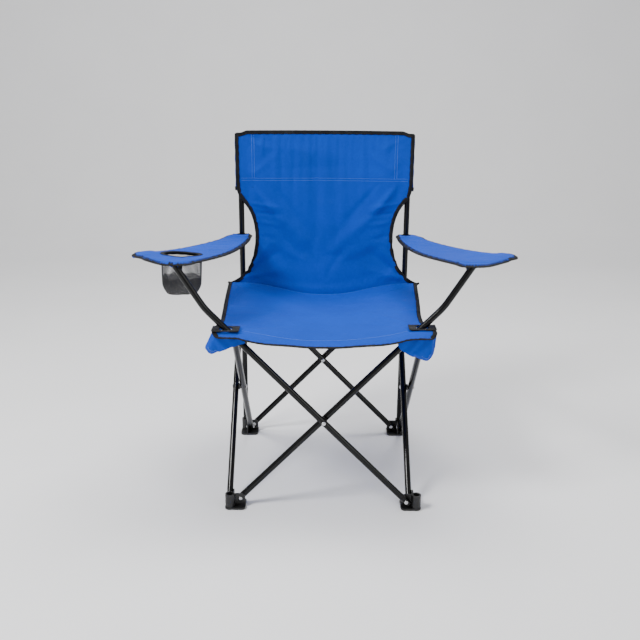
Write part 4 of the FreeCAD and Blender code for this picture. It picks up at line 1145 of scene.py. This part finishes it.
def floorPoint(flat):
    r = np.hypot(flat[:, 0], flat[:, 1]) / floorRadius
    return np.stack([floorCentre[0] + flat[:, 0], floorCentre[1] + flat[:, 1],
                     floorCentre[2] - 0.004 * (1 - r**2) + 0.0006 * np.sin(flat[:, 0] * 260)], 1)


for turn in (math.pi / 4, -math.pi / 4):
    for offset in np.arange(-floorRadius + 0.002, floorRadius, net["floorPitch"]):
        half = math.sqrt(max(floorRadius**2 - offset**2, 0))
        line = np.stack([np.linspace(-half, half, 9), np.full(9, offset)], 1)
        line = line @ np.array([[math.cos(turn), math.sin(turn)], [-math.sin(turn), math.cos(turn)]])
        points = floorPoint(line)
        starts.append(points[:-1])
        ends.append(points[1:])
edgeAt = unit((floorRing - floorCentre) * (1, 1, 0)) * floorRadius
starts.append(floorRing)
ends.append(floorPoint(edgeAt[:, :2]))
holder = threads("cup_net", np.vstack(starts), np.vstack(ends), net["thread"])
ringAngles = np.linspace(0, 2 * math.pi, 97)[:-1]
cord = netPoint(ringAngles, np.full(96, 0.02))
outward = unit((cord - rimCentre) * (1, 1, 0))
collar, _ = bindEdge("cup_net_collar", cord, np.tile([0, 0, -1.0], (96, 1)), outward, closed=True, width=0.0055)
bottomRing = netPoint(ringAngles, np.full(96, 1.0))
gather = threads("cup_net_gather", bottomRing, np.roll(bottomRing, -1, 0), 0.0009)
for piece, material in ((holder, netThread), (collar, blackTape), (gather, netThread)):
    finishPiece(piece, material, "left_armrest", "leftArm")
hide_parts("cup_holder")
print("cup holder ready")


# studio
studio = {
    "floor": (0.86, 0.86, 0.87, 1), "floorShade": (0.84, 0.84, 0.85, 1), "rough": 0.85, "half": 7.0,
    "behind": 2.6,
    "ahead": -6.0, "bend": 1.2, "wall": 5.0, "sky": 0.62, "lens": 45.73, "shift": -0.0042,
    "cameraAt": (-0.0148, -2.0774, 1.0602), "turn": -0.12, "tilt": 73.28, "roll": 0.39,
    # name, place, aim, size, power
    "lamps": [("key", (-1.9, -1.3, 2.8), (0, 0, 0.5), 0.9, 110),
              ("fill", (2.6, -2.0, 1.6), (0, 0, 0.5), 1.6, 22),
              ("over", (0.5, 0.5, 3.1), (0, 0, 0.4), 1.5, 70)],
}
curve = [(studio["behind"] + studio["bend"] * math.sin(a), studio["bend"] * (1 - math.cos(a)))
         for a in np.linspace(0, math.pi / 2, 16)]
profile = [(studio["ahead"], 0)] + curve + [(studio["behind"] + studio["bend"], studio["wall"])]
sweep = [(x, y, z - 0.0002) for y, z in profile for x in (-studio["half"], studio["half"])]
strips = [(2 * k, 2 * k + 1, 2 * k + 3, 2 * k + 2) for k in range(len(profile) - 1)]
floor = makeObject("floor", sweep, strips, [(x, y + z) for x, y, z in sweep])
floorMaterial, tree, shader = newMaterial("pale_floor")
clouds = spread(tree, noise(tree, objectPlace(tree), 3.0, 3.0), 0.3, 0.7)
feed(tree, mixColour(tree, clouds, studio["floor"], studio["floorShade"]), shader.inputs["Base Color"])
shader.inputs["Roughness"].default_value = studio["rough"]
floor.data.materials.append(floorMaterial)

world = bpy.data.worlds.new("studio")
bpy.context.scene.world = world
world.use_nodes = True
world.node_tree.nodes["Background"].inputs["Color"].default_value = (1, 1, 1, 1)
world.node_tree.nodes["Background"].inputs["Strength"].default_value = studio["sky"]
for name, place, aim, size, power in studio["lamps"]:
    lamp = bpy.data.objects.new(name, bpy.data.lights.new(name, "AREA"))
    lamp.data.size, lamp.data.energy = size, power
    lamp.location = place
    lamp.rotation_euler = (Vector(aim) - Vector(place)).to_track_quat("-Z", "Y").to_euler()
    bpy.context.scene.collection.objects.link(lamp)

camera = bpy.data.objects.new("camera", bpy.data.cameras.new("camera"))
camera.data.sensor_width, camera.data.lens = 36, studio["lens"]
camera.data.shift_y = studio["shift"]
camera.data.clip_end = 60
standing = Matrix.Translation(studio["cameraAt"])
for degrees, around in ((studio["turn"], "Z"), (studio["tilt"], "X"), (studio["roll"], "Z")):
    standing = standing @ Matrix.Rotation(math.radians(degrees), 4, around)
camera.matrix_world = standing
bpy.context.scene.collection.objects.link(camera)
bpy.context.scene.camera = camera

print("studio ready")
